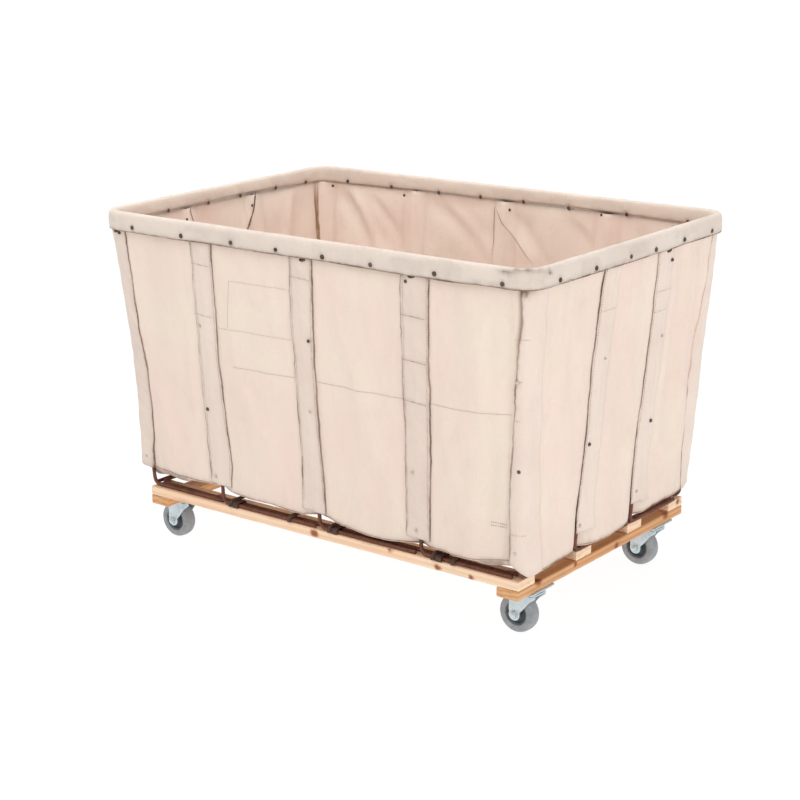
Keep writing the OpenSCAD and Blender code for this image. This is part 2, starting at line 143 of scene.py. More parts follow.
def tube(path, radius, sides=8, caps=True, phase=0.0):
    """Verts and faces of a tube along a path; radius may vary along it."""
    p = np.asarray(path, float)
    n = len(p)
    r = np.broadcast_to(np.asarray(radius, float), (n,))
    t = np.gradient(p, axis=0)
    t /= np.linalg.norm(t, axis=1)[:, None] + 1e-12
    ref = np.array([0.0, 0, 1]) if abs(t[0][2]) < 0.9 else np.array([1.0, 0, 0])
    a = np.cross(t[0], ref)
    a /= np.linalg.norm(a)
    A = np.zeros_like(p)
    for i in range(n):
        a = a - t[i] * np.dot(a, t[i])
        a /= np.linalg.norm(a) + 1e-12
        A[i] = a
    B = np.cross(t, A)
    th = np.arange(sides) * 2 * PI / sides + phase
    ring = A[:, None, :] * np.cos(th)[None, :, None] + B[:, None, :] * np.sin(th)[None, :, None]
    co = (p[:, None, :] + ring * r[:, None, None]).reshape(-1, 3)
    faces = grid_faces(n, sides, wrap_cols=True)
    if caps:
        faces.append(list(range(sides))[::-1])
        faces.append([(n - 1) * sides + i for i in range(sides)])
    return co, faces


def lathe(profile, sides, centre, axis, up=None):
    """Verts and faces of a closed lathe; profile is (radius, height along axis), first and last on the axis or not."""
    ax = np.asarray(axis, float)
    ax = ax / np.linalg.norm(ax)
    ref = np.array([0.0, 0, 1]) if abs(ax[2]) < 0.9 else np.array([1.0, 0, 0])
    u = np.cross(ref, ax)
    u /= np.linalg.norm(u)
    v = np.cross(ax, u)
    pr = np.asarray(profile, float)
    th = np.arange(sides) * 2 * PI / sides
    co = (np.asarray(centre)[None, None] + pr[:, None, 1:2] * ax[None, None]
          + pr[:, None, 0:1] * (u[None, None] * np.cos(th)[None, :, None] + v[None, None] * np.sin(th)[None, :, None]))
    faces = grid_faces(len(pr), sides, wrap_cols=True)
    co = co.reshape(-1, 3)
    faces.append(list(range(sides))[::-1])
    faces.append([(len(pr) - 1) * sides + i for i in range(sides)])
    return co, faces


def smooth_path(pts, n):
    """Points spread evenly along a Catmull-Rom curve through pts."""
    p = np.asarray(pts, float)
    q = np.vstack([2 * p[0] - p[1], p, 2 * p[-1] - p[-2]])
    out = []
    for i in range(1, len(q) - 2):
        t = np.linspace(0, 1, 24, endpoint=False)[:, None]
        out.append(0.5 * (2 * q[i] + (q[i + 1] - q[i - 1]) * t + (2 * q[i - 1] - 5 * q[i] + 4 * q[i + 1] - q[i + 2]) * t ** 2
                          + (3 * q[i] - q[i - 1] - 3 * q[i + 1] + q[i + 2]) * t ** 3))
    out = np.vstack(out + [p[-1:]])
    s = np.concatenate([[0], np.cumsum(np.linalg.norm(np.diff(out, axis=0), axis=1))])
    k = np.linspace(0, s[-1], n)
    return np.stack([np.interp(k, s, out[:, j]) for j in range(3)], 1)


def round_corner(pts, r, n=6):
    """A polyline with its inner corners rounded to radius r."""
    p = [np.asarray(a, float) for a in pts]
    out = [p[0]]
    for i in range(1, len(p) - 1):
        a, b, c = p[i - 1], p[i], p[i + 1]
        d1, d2 = (a - b) / np.linalg.norm(a - b), (c - b) / np.linalg.norm(c - b)
        ang = math.acos(np.clip(np.dot(d1, d2), -1, 1))
        k = min(r / math.tan(ang / 2), 0.45 * min(np.linalg.norm(a - b), np.linalg.norm(c - b)))
        s, e = b + d1 * k, b + d2 * k
        for t in np.linspace(0, 1, n):
            out.append((1 - t) ** 2 * s + 2 * t * (1 - t) * b + t * t * e)
    out.append(p[-1])
    return np.array(out)

# ------------------------------------------------------------------ materials


class M:
    """A material built from nodes; ends in one Principled BSDF."""

    def __init__(self, name):
        self.m = bpy.data.materials.new(name)
        self.m.use_nodes = True
        self.t = self.m.node_tree
        self.t.nodes.clear()
        self.out = self.t.nodes.new("ShaderNodeOutputMaterial")
        self.b = self.t.nodes.new("ShaderNodeBsdfPrincipled")
        self.t.links.new(self.b.outputs[0], self.out.inputs[0])

    def node(self, kind, ins=None, **props):
        n = self.t.nodes.new("ShaderNode" + kind)
        for k, v in props.items():
            setattr(n, k, v)
        for k, v in (ins or {}).items():
            self.put(n.inputs[k], v)
        return n

    def put(self, sock, v):
        if isinstance(v, bpy.types.NodeSocket):
            self.t.links.new(v, sock)
        elif isinstance(v, bpy.types.Node):
            self.t.links.new(v.outputs[0], sock)
        else:
            sock.default_value = v

    def attr(self, name):
        return self.node("Attribute", attribute_name=name)

    def coords(self, source, scale=(1, 1, 1), rot=(0, 0, 0)):
        n = self.node("Mapping", {"Vector": source, "Scale": scale, "Rotation": rot})
        return n.outputs[0]

    def noise(self, vec, scale, detail=3.0, rough=0.55, distort=0.0):
        return self.node("TexNoise", {"Vector": vec, "Scale": scale, "Detail": detail, "Roughness": rough, "Distortion": distort}).outputs["Fac"]

    def math(self, op, a, b=0.5, c=None, clamp=False):
        n = self.node("Math", operation=op, use_clamp=clamp)
        self.put(n.inputs[0], a)
        self.put(n.inputs[1], b)
        if c is not None:
            self.put(n.inputs[2], c)
        return n.outputs[0]

    def ramp(self, fac, stops, interp="LINEAR"):
        n = self.node("ValToRGB", {"Fac": fac})
        n.color_ramp.interpolation = interp
        e = n.color_ramp.elements
        while len(e) < len(stops):
            e.new(0.5)
        for i, (pos, col) in enumerate(stops):
            e[i].position = pos
            e[i].color = tuple(col) + (1,) if len(col) == 3 else col
        return n.outputs["Color"]

    def remap(self, v, a, b, c=0.0, d=1.0):
        return self.node("MapRange", {"Value": v, "From Min": a, "From Max": b, "To Min": c, "To Max": d}).outputs[0]

    def mix(self, fac, a, b, mode="MIX"):
        n = self.node("Mix", data_type="RGBA", blend_type=mode)
        self.put(n.inputs[0], fac)
        self.put(n.inputs[6], a if not isinstance(a, tuple) else tuple(a) + (1,))
        self.put(n.inputs[7], b if not isinstance(b, tuple) else tuple(b) + (1,))
        return n.outputs[2]

    def bump(self, height, strength, distance, normal=None):
        ins = {"Height": height, "Strength": strength, "Distance": distance}
        if normal is not None:
            ins["Normal"] = normal
        return self.node("Bump", ins).outputs[0]

    def done(self, color, rough=0.8, normal=None, metal=None, sheen=None, coat=None, spec=None):
        self.put(self.b.inputs["Base Color"], color)
        self.put(self.b.inputs["Roughness"], rough)
        if normal is not None:
            self.put(self.b.inputs["Normal"], normal)
        if metal is not None:
            self.put(self.b.inputs["Metallic"], metal)
        if sheen is not None:
            self.b.inputs["Sheen Weight"].default_value = sheen
            self.b.inputs["Sheen Roughness"].default_value = 0.5
        if spec is not None:
            self.b.inputs["Specular IOR Level"].default_value = spec
        return self.m


def srgb(r, g, b):
    return tuple(((c / 255) / 12.92 if c / 255 <= 0.04045 else ((c / 255 + 0.055) / 1.055) ** 2.4) for c in (r, g, b))


def canvas_mat(name, tone, patch, dirt_and_shade_col, weave=1.0, dirt=1.0):
    """Cotton duck: plain weave, slubs, soft patches, darker and lighter diagonal streaks that paint the shade and
    highlight of soft folds, and soiling and painted shade where the point attribute says.
    """
    k = M(name)
    fab = k.attr("fab").outputs["Vector"]
    sep = k.node("SeparateXYZ", {"Vector": fab})
    s, z = sep.outputs[0], sep.outputs[1]
    big = k.noise(k.coords(fab, (5, 4, 5)), 1.0, 2.0)
    mid = k.noise(k.coords(fab, (26, 14, 26)), 1.0, 4.0, 0.6)
    slub_v = k.noise(k.coords(fab, (900, 22, 1)), 1.0, 2.0)
    slub_h = k.noise(k.coords(fab, (22, 900, 1)), 1.0, 2.0)
    col = k.mix(k.remap(big, 0.35, 0.68), tone, patch)
    col = k.mix(k.remap(mid, 0.52, 0.8, 0, 0.34), col, tuple(c * 0.86 for c in patch))
    # large diagonal streaks, darker and lighter than the cloth: painted shade and painted highlight of soft folds
    fold_shading_band = k.noise(k.coords(fab, (9, 1.7, 9), (0, 0, 0.35)), 1.0, 3.0, 0.55, 0.6)
    col = k.mix(k.remap(fold_shading_band, 0.50, 0.74, 0, 0.30), col, tuple(c * f for c, f in zip(tone, (0.84, 0.82, 0.82))))
    col = k.mix(k.remap(fold_shading_band, 0.26, 0.44, 0.35, 0), col, tuple(min(1.0, c * f) for c, f in zip(tone, (1.04, 1.05, 1.06))))
    slub = k.math("ADD", slub_v, slub_h)
    col = k.mix(k.remap(slub, 0.7, 1.35, 0, 0.16), col, tuple(c * 0.72 for c in tone))
    specks = k.noise(k.coords(fab, (160, 160, 1)), 1.0, 3.0, 0.7)
    col = k.mix(k.remap(specks, 0.68, 0.8, 0, 0.4), col, dirt_and_shade_col)
    # mix towards the darker colour where the point attribute says: real soiling, plus painted shade laid in under the
    # binding, along strap edges, on the turned-under strip and in creases
    grime_and_shade = k.attr("dirt").outputs["Fac"]
    cloud = k.noise(k.coords(fab, (45, 30, 1)), 1.0, 5.0, 0.65)
    g = k.math("MULTIPLY", grime_and_shade, k.remap(cloud, 0.25, 0.62, 0.25, 1.15), clamp=True)
    col = k.mix(k.math("MULTIPLY", g, dirt, clamp=True), col, dirt_and_shade_col)
    wx = k.math("SINE", k.math("MULTIPLY", s, 2 * PI / 0.0021))
    wz = k.math("SINE", k.math("MULTIPLY", z, 2 * PI / 0.0021))
    wv = k.math("MULTIPLY", wx, wz)
    h = k.math("ADD", k.math("MULTIPLY", wv, 0.5), k.math("MULTIPLY", slub, 0.8))
    crease = k.noise(k.coords(fab, (55, 24, 1), (0, 0, 0.5)), 1.0, 4.0, 0.6, 1.2)
    n1 = k.bump(crease, 0.30 * weave, 0.006)
    nrm = k.bump(h, 0.28 * weave, 0.0006, n1)
    return k.done(col, k.remap(mid, 0.2, 0.8, 0.86, 0.97), nrm, sheen=0.25, spec=0.25)


def wood_mat(name, light, dark, seed, knots, shift=(0, 0, 0)):
    """Planed pine: rings stretched along X (attribute fab holds the board's own length, height and width)."""
    k = M(name)
    g = k.attr("grain").outputs["Vector"]
    g = k.node("VectorMath", {0: g, 1: (seed * 3.7 + shift[0], seed * 1.3, seed * 2.1)}, operation="ADD").outputs[0]
    warp = k.noise(k.coords(g, (2.2, 9, 9)), 1.0, 2.0)
    long_n = k.noise(k.coords(g, (3.0, 60, 60)), 1.0, 5.0, 0.6, 0.4)
    fine = k.noise(k.coords(g, (12, 900, 900)), 1.0, 3.0, 0.6)
    rings = k.node("TexWave", {"Vector": k.coords(g, (0.9, 20, 26)), "Scale": 1.0, "Distortion": 7.0, "Detail": 2.0, "Detail Scale": 0.8, "Detail Roughness": 0.55},
                   wave_type="BANDS", bands_direction="Z").outputs["Fac"]
    f = k.math("ADD", k.math("MULTIPLY", rings, 0.55), k.math("MULTIPLY", long_n, 0.6))
    col = k.mix(k.remap(f, 0.32, 0.95), light, dark)
    col = k.mix(k.remap(warp, 0.45, 0.75, 0, 0.5), col, tuple(c * f for c, f in zip(dark, (1.0, 0.82, 0.72))))
    col = k.mix(k.remap(fine, 0.5, 0.8, 0, 0.3), col, tuple(c * 0.66 for c in dark))
    kn = k.attr("knot").outputs["Fac"]
    kcol = k.ramp(kn, [(0.0, srgb(226, 160, 104)), (0.45, srgb(170, 100, 62)), (1.0, srgb(84, 48, 34))])
    col = k.mix(k.remap(kn, 0.12, 0.55, 0, 0.92), col, kcol)
    soil = k.noise(k.coords(g, (7, 40, 40)), 1.0, 4.0, 0.6)
    col = k.mix(k.remap(soil, 0.56, 0.78, 0, 0.42), col, srgb(150, 108, 76))
    h = k.math("ADD", k.math("MULTIPLY", fine, 0.6), long_n)
    nrm = k.bump(h, 0.35, 0.0015)
    return k.done(col, k.remap(long_n, 0.3, 0.8, 0.55, 0.78), nrm, spec=0.35)


def rust_mat(name, base, light, deep):
    k = M(name)
    co = k.node("TexCoord").outputs["Object"]
    a = k.noise(k.coords(co, (38, 38, 38)), 1.0, 5.0, 0.65)
    b = k.noise(k.coords(co, (260, 260, 260)), 1.0, 3.0, 0.6)
    c = k.node("TexVoronoi", {"Vector": co, "Scale": 320.0}).outputs["Distance"]
    col = k.mix(k.remap(a, 0.34, 0.66), base, light)
    col = k.mix(k.remap(b, 0.5, 0.74, 0, 0.75), col, deep)
    h = k.math("ADD", k.math("MULTIPLY", c, 0.5), b)
    return k.done(col, k.remap(a, 0.3, 0.7, 0.5, 0.88), k.bump(h, 0.55, 0.0012), metal=k.remap(a, 0.3, 0.72, 0.35, 0.05), spec=0.4)


def zinc_mat(name, base, spot, metal=0.75, rough=(0.3, 0.55), blue=0.25):
    k = M(name)
    co = k.node("TexCoord").outputs["Object"]
    cells = k.node("TexVoronoi", {"Vector": co, "Scale": 190.0}).outputs["Color"]
    n = k.noise(k.coords(co, (60, 60, 60)), 1.0, 4.0, 0.6)
    scr = k.noise(k.coords(co, (900, 40, 500)), 1.0, 2.0)
    sepc = k.node("SeparateColor", {"Color": cells}).outputs[0]
    col = k.mix(k.remap(sepc, 0.1, 0.9, 0, 0.5), base, spot)
    col = k.mix(k.remap(n, 0.55, 0.8, 0, 0.7), col, tuple(c * 0.42 for c in spot))
    return k.done(col, k.remap(k.math("ADD", n, k.math("MULTIPLY", scr, 0.4)), 0.4, 1.0, rough[0], rough[1]), k.bump(k.math("ADD", scr, n), 0.12, 0.0006), metal=metal)


def rubber_mat(name, base, worn, rough=0.72):
    k = M(name)
    co = k.node("TexCoord").outputs["Object"]
    n = k.noise(k.coords(co, (70, 70, 70)), 1.0, 5.0, 0.62)
    sp = k.noise(k.coords(co, (420, 420, 420)), 1.0, 2.0)
    col = k.mix(k.remap(n, 0.36, 0.7), base, worn)
    col = k.mix(k.remap(sp, 0.6, 0.78, 0, 0.5), col, tuple(c * 0.5 for c in base))
    return k.done(col, k.remap(n, 0.3, 0.7, rough, rough + 0.18), k.bump(k.math("ADD", sp, n), 0.2, 0.0008), spec=0.3)


MAT_CANVAS = canvas_mat("canvas_outer", srgb(241, 225, 208), srgb(242, 217, 205), srgb(170, 150, 134))
MAT_INNER = canvas_mat("canvas_inner", srgb(241, 225, 211), srgb(240, 217, 204), srgb(170, 140, 122))
MAT_STRAP = canvas_mat("strap_cloth", srgb(240, 223, 209), srgb(236, 216, 204), srgb(136, 110, 94), 1.3)
MAT_BIND = canvas_mat("binding_cloth", srgb(231, 218, 205), srgb(224, 208, 195), srgb(112, 92, 80), 1.3)
# the binding cloth a little darker and warmer on its inside faces: painted shade of the basket's inside
MAT_BIND_IN = canvas_mat("binding_inside", srgb(228, 212, 198), srgb(222, 204, 190), srgb(150, 124, 108), 1.2)
# dark cloth for frayed and worn edges and the hem; it also paints lines of shadow along strap edges and shade in
# creases
MAT_CORD = canvas_mat("frayed_edge_and_shade_line", srgb(190, 162, 142), srgb(166, 134, 116), srgb(104, 78, 66), 1.5)
MAT_SEAM = canvas_mat("seam_tape", srgb(192, 154, 120), srgb(170, 130, 100), srgb(112, 82, 62), 1.3)
MAT_THREAD = canvas_mat("thread", srgb(206, 190, 176), srgb(190, 172, 158), srgb(120, 104, 94), 1.0)
MAT_RUST = rust_mat("rusted_steel", srgb(104, 62, 48), srgb(138, 88, 66), srgb(58, 36, 32))
MAT_RUST_DK = rust_mat("dark_steel", srgb(70, 50, 44), srgb(104, 76, 62), srgb(38, 28, 26))
MAT_RIVET = rust_mat("rivet_steel", srgb(78, 62, 56), srgb(112, 92, 82), srgb(44, 34, 32))
MAT_EYE = zinc_mat("dull_washer", srgb(206, 198, 188), srgb(184, 176, 168), 0.35, (0.5, 0.75))
MAT_ZINC = zinc_mat("zinc", srgb(214, 224, 228), srgb(190, 204, 210), 0.5, (0.34, 0.56))
MAT_ZINC_DK = zinc_mat("zinc_dark", srgb(120, 130, 134), srgb(92, 100, 104), 0.7, (0.38, 0.62))
MAT_TYRE = rubber_mat("tyre_rubber", srgb(146, 148, 151), srgb(166, 168, 170))
MAT_CORE = rubber_mat("wheel_core", srgb(84, 92, 96), srgb(104, 112, 116), 0.5)
PINE_L, PINE_D = srgb(252, 226, 198), srgb(243, 204, 168)
WOOD = [wood_mat("pine_" + str(i), PINE_L if i < 4 else srgb(226, 178, 130), PINE_D if i < 4 else srgb(204, 144, 94), i + 1, None) for i in range(6)]

# ------------------------------------------------------------------ the basket's shape

ZT, ZB = 0.800, 0.190        # canvas: under the rim, and roughly the lower edge
Z0 = 0.1586


def HX(z):
    return 0.5435 + 0.08501 * (z - Z0)


def HY(z):
    return 0.33915 + 0.08554 * (z - Z0)


def RC(z):
    return 0.016 + (0.046 - 0.016) * np.clip((z - 0.18) / 0.62, 0, 1) ** 1.2


# lines of the uprights: (wall, [(z, place along the wall)])
def line(*zc):
    z = np.array([a for a, b in zc])
    c = np.array([b for a, b in zc])
    o = np.argsort(z)
    return z[o], c[o]


# Along each wall, left to right as seen from outside: front X, right Y, back -X, left -Y
FRONT = [line((.80, -.294), (.64, -.299), (.50, -.302), (.36, -.305), (.16, -.306)),
         line((.80, .002), (.66, -.006), (.50, -.009), (.34, -.012), (.16, -.007)),
         line((.80, .312), (.62, .303), (.50, .298), (.34, .286), (.16, .279))]
RIGHT = [line((.80, -.085), (.62, -.099), (.50, -.104), (.34, -.116), (.16, -.133)),
         line((.80, .137), (.62, .134), (.50, .126), (.34, .118), (.16, .100))]
BACK = [line((.80, -.290), (.50, -.292), (.16, -.290)),
        line((.80, .006), (.50, .001), (.16, .003)),
        line((.80, .282), (.50, .296), (.16, .303))]
LEFT = [line((.80, -.112), (.50, -.120), (.16, -.125)),
        line((.80, .126), (.50, .118), (.16, .115))]


def seg(z):
    hx, hy, r = HX(z), HY(z), RC(z)
    return hx - r, hy - r, r * PI / 2, r, hx, hy


def centre_S(wall, z):
    a, b, q, r, hx, hy = seg(z)
    return (0 * a, a + q + b, 2 * a + 2 * q + 2 * b, 3 * a + 3 * q + 3 * b)[wall] + 0 * a


def total(z):
    a, b, q, r, hx, hy = seg(z)
    return 4 * a + 4 * b + 4 * q


def plan(S, z):
    """Place and outward direction on the leaning rounded outline at level z, at arc length S from the middle of the front."""
    S, z = np.broadcast_arrays(np.asarray(S, float), np.asarray(z, float))
    a, b, q, r, hx, hy = seg(z)
    L = 4 * a + 4 * b + 4 * q
    s = np.mod(S + a, L)          # 0 at the left end of the front wall
    x, y, nx, ny = (np.zeros_like(s) for _ in range(4))
    start = np.zeros_like(s)
    half = [a, b, a, b]
    depth = [hy, hx, hy, hx]
    for w in range(4):
        ang = w * PI / 2
        tx, ty = math.cos(ang), math.sin(ang)       # along the wall
        ox, oy = math.sin(ang), -math.cos(ang)      # outward
        d = s - start
        on = (d >= 0) & (d <= 2 * half[w])
        c = d - half[w]
        x = np.where(on, c * tx + depth[w] * ox, x)
        y = np.where(on, c * ty + depth[w] * oy, y)
        nx, ny = np.where(on, ox, nx), np.where(on, oy, ny)
        start = start + 2 * half[w]
        d = s - start
        on = (d > 0) & (d < q)
        th = d / r
        dx = ox * np.cos(th) + tx * np.sin(th)
        dy = oy * np.cos(th) + ty * np.sin(th)
        px = half[w] * tx + (depth[w] - r) * ox + dx * r
        py = half[w] * ty + (depth[w] - r) * oy + dy * r
        x, y = np.where(on, px, x), np.where(on, py, y)
        nx, ny = np.where(on, dx, nx), np.where(on, dy, ny)
        start = start + q
    return x, y, nx, ny


def line_S(wall, ln, z):
    return centre_S(wall, z) + np.interp(z, ln[0], ln[1])


def corner_S(i, z):
    """Arc length of corner i: 0 front right, 1 back right, 2 back left, 3 front left."""
    a, b, q, r, hx, hy = seg(z)
    return (a + q / 2, a + q + 2 * b + q / 2, a + 2 * q + 2 * b + 2 * a + q / 2, a + 3 * q + 4 * b + 2 * a + q / 2)[i] + 0 * a


LINES = [("fr", lambda z: corner_S(0, z))]
LINES += [("r%d" % i, (lambda ln: lambda z: line_S(1, ln, z))(ln)) for i, ln in enumerate(RIGHT)]
LINES += [("br", lambda z: corner_S(1, z))]
LINES += [("b%d" % i, (lambda ln: lambda z: line_S(2, ln, z))(ln)) for i, ln in enumerate(BACK)]
LINES += [("bl", lambda z: corner_S(2, z))]
LINES += [("l%d" % i, (lambda ln: lambda z: line_S(3, ln, z))(ln)) for i, ln in enumerate(LEFT)]
LINES += [("fl", lambda z: corner_S(3, z))]
LINES += [("f%d" % i, (lambda ln: lambda z: line_S(0, ln, z) + total(z))(ln)) for i, ln in enumerate(FRONT)]
# how far the cloth of each panel stands out between its two uprights: top, middle, bottom (m)
BULGE = {"fr": (-.001, .004, .009), "r0": (.001, .005, .007), "r1": (-.004, -.010, .003), "br": (-.003, -.008, .005),
         "b0": (-.004, -.006, .006), "b1": (.003, .008, .010), "b2": (-.004, -.010, .004), "bl": (-.004, -.008, .004),
         "l0": (.002, .008, .010), "l1": (-.003, -.006, .004), "fl": (-.002, .003, .007), "f0": (-.001, .004, .008),
         "f1": (.001, .006, .010), "f2": (-.001, .007, .010)}
# long soft folds: wall, place and height of each end, half width, height of the fold (m)
FOLDS = [
    # back wall, inside: the cloth drapes down from the back-left corner and under the rim (place is -X)
    (2, .545, .80, .34, .60, .030, .016), (2, .505, .80, .30, .52, .022, -.016), (2, .43, .78, .24, .58, .018, .007),
    (2, .235, .79, .02, .66, .030, .009), (2, .19, .79, -.02, .62, .020, -.008), (2, .035, .79, -.10, .64, .017, -.013),
    (2, .00, .80, -.16, .58, .030, .012), (2, -.16, .79, -.30, .70, .028, .008), (2, -.20, .80, -.36, .62, .020, -.009),
    (2, -.38, .80, -.45, .50, .025, .007), (2, .33, .50, .10, .25, .03, .006),
    # left wall, inside (place is -Y)
    (3, -.118, .81, -.06, .68, .012, -.010), (3, -.14, .80, -.09, .62, .022, .008), (3, .122, .81, .105, .74, .010, -.006),
    (3, -.30, .80, -.24, .55, .03, .009), (3, -.255, .80, -.20, .50, .02, -.007), (3, .30, .60, .10, .32, .03, .006),
    # right wall, outside (place is Y): upright folds towards the back
    (1, .235, .79, .225, .28, .018, -.008), (1, .275, .79, .285, .24, .016, .009), (1, .315, .78, .325, .28, .012, -.007),
    (1, .19, .76, .175, .25, .014, .006), (1, -.25, .62, -.20, .22, .03, .006), (1, .03, .55, .055, .20, .02, .006),
    (1, .00, .78, .03, .56, .016, -.004), (1, -.19, .77, -.24, .50, .018, -.004),
    # front wall
    (0, .44, .79, .50, .40, .035, .006), (0, .50, .70, .47, .25, .018, -.004), (0, .10, .66, .20, .28, .03, .006),
    (0, .12, .76, .08, .45, .02, -.003), (0, -.20, .46, -.11, .24, .03, .006), (0, -.42, .78, -.46, .35, .028, .005),
    (0, -.38, .60, -.40, .24, .016, -.004), (0, -.49, .44, -.44, .22, .02, .005), (0, -.24, .56, -.20, .26, .014, -.004),
    (0, .36, .50, .40, .24, .02, .005), (0, -.10, .74, -.08, .58, .016, .003), (0, .22, .45, .16, .22, .016, -.004),
]
# lower edge of the cloth, wall by wall: place, height
EDGE = {0: ([-.56, -.527, -.45, -.338, -.247, -.141, -.054, .027, .09, .183, .262, .327, .423, .519, .56],
            [.205, .206, .203, .202, .193, .190, .186, .192, .181, .176, .182, .185, .185, .200, .186]),
        1: ([-.345, -.291, -.254, -.144, -.017, .087, .147, .312, .35], [.176, .170, .172, .1715, .1725, .172, .183, .188, .188]),
        2: ([-.55, -.40, -.29, -.15, 0, .15, .30, .42, .55], [.190, .182, .188, .180, .188, .181, .190, .184, .196]),
        3: ([-.35, -.22, -.11, 0, .12, .24, .35], [.196, .184, .190, .182, .190, .186, .204])}


def on_wall(S, z):
    """For each wall, the place along it and a weight that is 1 on the wall and falls to 0 round its corners."""
    a, b, q, r, hx, hy = seg(z)
    L = 4 * a + 4 * b + 4 * q
    out = []
    for w in range(4):
        c = S - centre_S(w, z)
        c = np.mod(c + L / 2, L) - L / 2
        half = (a, b, a, b)[w]
        wt = 1 - sstep(np.abs(c), half, half + q)
        out.append((c, wt))
    return out


def cloth(S, z):
    """How far the cloth stands out from the rods' plane, before the rods' own dents, and the distance to the nearest rod."""
    S, z = np.broadcast_arrays(np.asarray(S, float), np.asarray(z, float))
    L = total(z)
    s = np.mod(S, L)
    n = len(LINES)
    pos = [np.mod(f(z), L) for _, f in LINES]
    t = np.clip((z - ZB) / (ZT - ZB), 0, 1)
    near = np.full(s.shape, 9.0)
    D = np.zeros_like(s)
    for i in range(n):
        p0, p1 = pos[i], pos[(i + 1) % n]
        gap = np.mod(p1 - p0, L)
        d = np.mod(s - p0, L)
        f = d / gap
        inside = (d >= 0) & (d < gap)
        top, mid, low = BULGE[LINES[i][0]]
        amp = low + (mid - low) * sstep(t, 0.05, 0.5) + (top - mid) * sstep(t, 0.5, 0.97)
        amp = amp * (1 - sstep(t, 0.97, 1.0))
        D = np.where(inside, amp * np.sin(PI * np.clip(f, 0, 1)) ** 1.5, D)
        near = np.minimum(near, np.minimum(d, L - d))
    free = 1 - gauss(near, 0.034)                        # 0 under a strap, 1 in the open
    keep = sstep(1 - t, 0.0, 0.10)                        # held flat at the rim
    walls = on_wall(s, z)
    F = np.zeros_like(s)
    for w, c0, z0, c1, z1, wd, amp in FOLDS:
        c, wt = walls[w]
        dx, dz = c1 - c0, z1 - z0
        ln = dx * dx + dz * dz
        k = ((c - c0) * dx + (z - z0) * dz) / ln
        dist = ((c - c0) * dz - (z - z0) * dx) / math.sqrt(ln)
        grow = wd * (0.7 + 0.6 * np.clip(k, 0, 1))
        F += amp * gauss(dist, grow) * sstep(k, -0.12, 0.10) * (1 - sstep(k, 0.62, 1.15)) * wt
    # small unevenness everywhere: broad waves, upright ripples and pleats under the rim
    u = s / L
    W = 0.0042 * noise2(u * 26, z * 5.5, 3, 26) + 0.0022 * noise2(u * 64, z * 9, 5, 64) + 0.0011 * noise2(u * 150, z * 22, 8, 150)
    W += 0.0016 * noise2(u * 60 + z * 9, z * 16 - u * 30, 11)
    W += 0.0012 * noise2(u * 110, z * 3.5, 15, 110)
    pleat = 0.0018 * noise2(u * 90, z * 2, 21, 90) * gauss(t - 0.94, 0.10)
    D = D + (F + W) * free * keep + 0.35 * W * (1 - free) * keep + pleat * free
    # the ends hang a little away from the rods near the floor
    c1, w1 = walls[1]
    c3, w3 = walls[3]
    low = sstep(0.285 - z, 0.0, 0.115)
    D = D + (0.0115 * w1 + 0.010 * w3) * low * (1 - gauss(near, 0.020)) + 0.003 * low * walls[0][1] * free
    return D, near


ROD_IN = 0.0035


def corner_push(x, y, z, loose):
    """Sideways shift of the cloth near each bottom corner, where it stands out past the corner rod; loose is 1 for straps."""
    hx, hy = HX(z), HY(z)
    on_y = sstep(np.abs(y), 0.225, 0.315)
    wx = sstep(np.abs(x), hx - 0.034, hx + 0.002) * on_y
    fl = np.interp(z, [.17, .20, .235, .30, .37, .49, .59, .69, .79], [.030, .028, .024, .014, .004, -.005, -.008, -.005, 0])
    fr = np.interp(z, [.16, .20, .25, .33, .45, .6], [.009, .008, .006, .003, .001, 0])
    fy = np.interp(z, [.16, .20, .26, .33, .42], [.014, .012, .006, .002, 0])
    wq = sstep(x, hx - 0.060, hx - 0.012) * sstep(-y, hy - 0.070, hy - 0.012)
    bl = np.interp(z, [.17, .25, .40, .6], [.018, .012, .003, 0])
    px = np.where(x < 0, np.where(y < 0, -fl, -bl), np.where(y < 0, fr, 0.0))
    keep = np.where(px * np.sign(x) > 0, loose, 1.0)
    wy = sstep(np.abs(y), hy - 0.050, hy - 0.004) * sstep(np.abs(x), 0.42, 0.51) * (x > 0) * (y > 0)
    br = np.interp(z, [.17, .26, .385, .51, .60, .70, .79], [.015, .012, .009, .006, .004, .001, 0])
    return px * wx * keep, (br * wy - fy * wq) * loose


def rod_point(S, z, out=0.0):
    """A point on the rods' own surface, out metres outside it."""
    x, y, nx, ny = plan(S, z)
    D, _ = cloth(S, z)
    px, _ = corner_push(x, y, z, 0.0)
    x = x + px
    k = D + out - ROD_IN
    return np.stack([x + nx * k, y + ny * k, np.broadcast_to(z, x.shape) * 1.0], -1)


def cloth_point(S, z, out=0.0):
    """A point on the canvas, dented inwards where it passes behind a rod."""
    x, y, nx, ny = plan(S, z)
    D, near = cloth(S, z)
    t = np.clip((z - ZB) / (ZT - ZB), 0, 1)
    k = D - (0.0062 + ROD_IN - 0.0014 * sstep(z, .770, .792)) * gauss(near, 0.018) - 0.0006 + out
    px, py = corner_push(x, y, z, 0.55 * (1 - gauss(near, 0.022)))
    x, y = x + px, y + py
    return np.stack([x + nx * k, y + ny * k, np.broadcast_to(z, x.shape) * 1.0], -1)


def edge_z(S):
    """Height of the cloth's lower edge at arc length S, measured at the level of the edge."""
    z = np.full(np.shape(S), ZB)
    zb = np.full(np.shape(S), 0.0)
    wsum = np.zeros(np.shape(S))
    for w, (c, wt) in enumerate(on_wall(S, z)):
        k = np.maximum(wt, 1e-6)
        zb += k * np.interp(c, *EDGE[w])
        wsum += k
    return zb / wsum


NU = 560
u_run = np.arange(NU) / NU
u_cols = np.mod(u_run + 0.349, 1)
L_low = total(np.array(ZB))
e_z = edge_z(u_cols * L_low) + 0.0012 * noise2(u_cols * 120, 0 * u_cols, 31, 120)

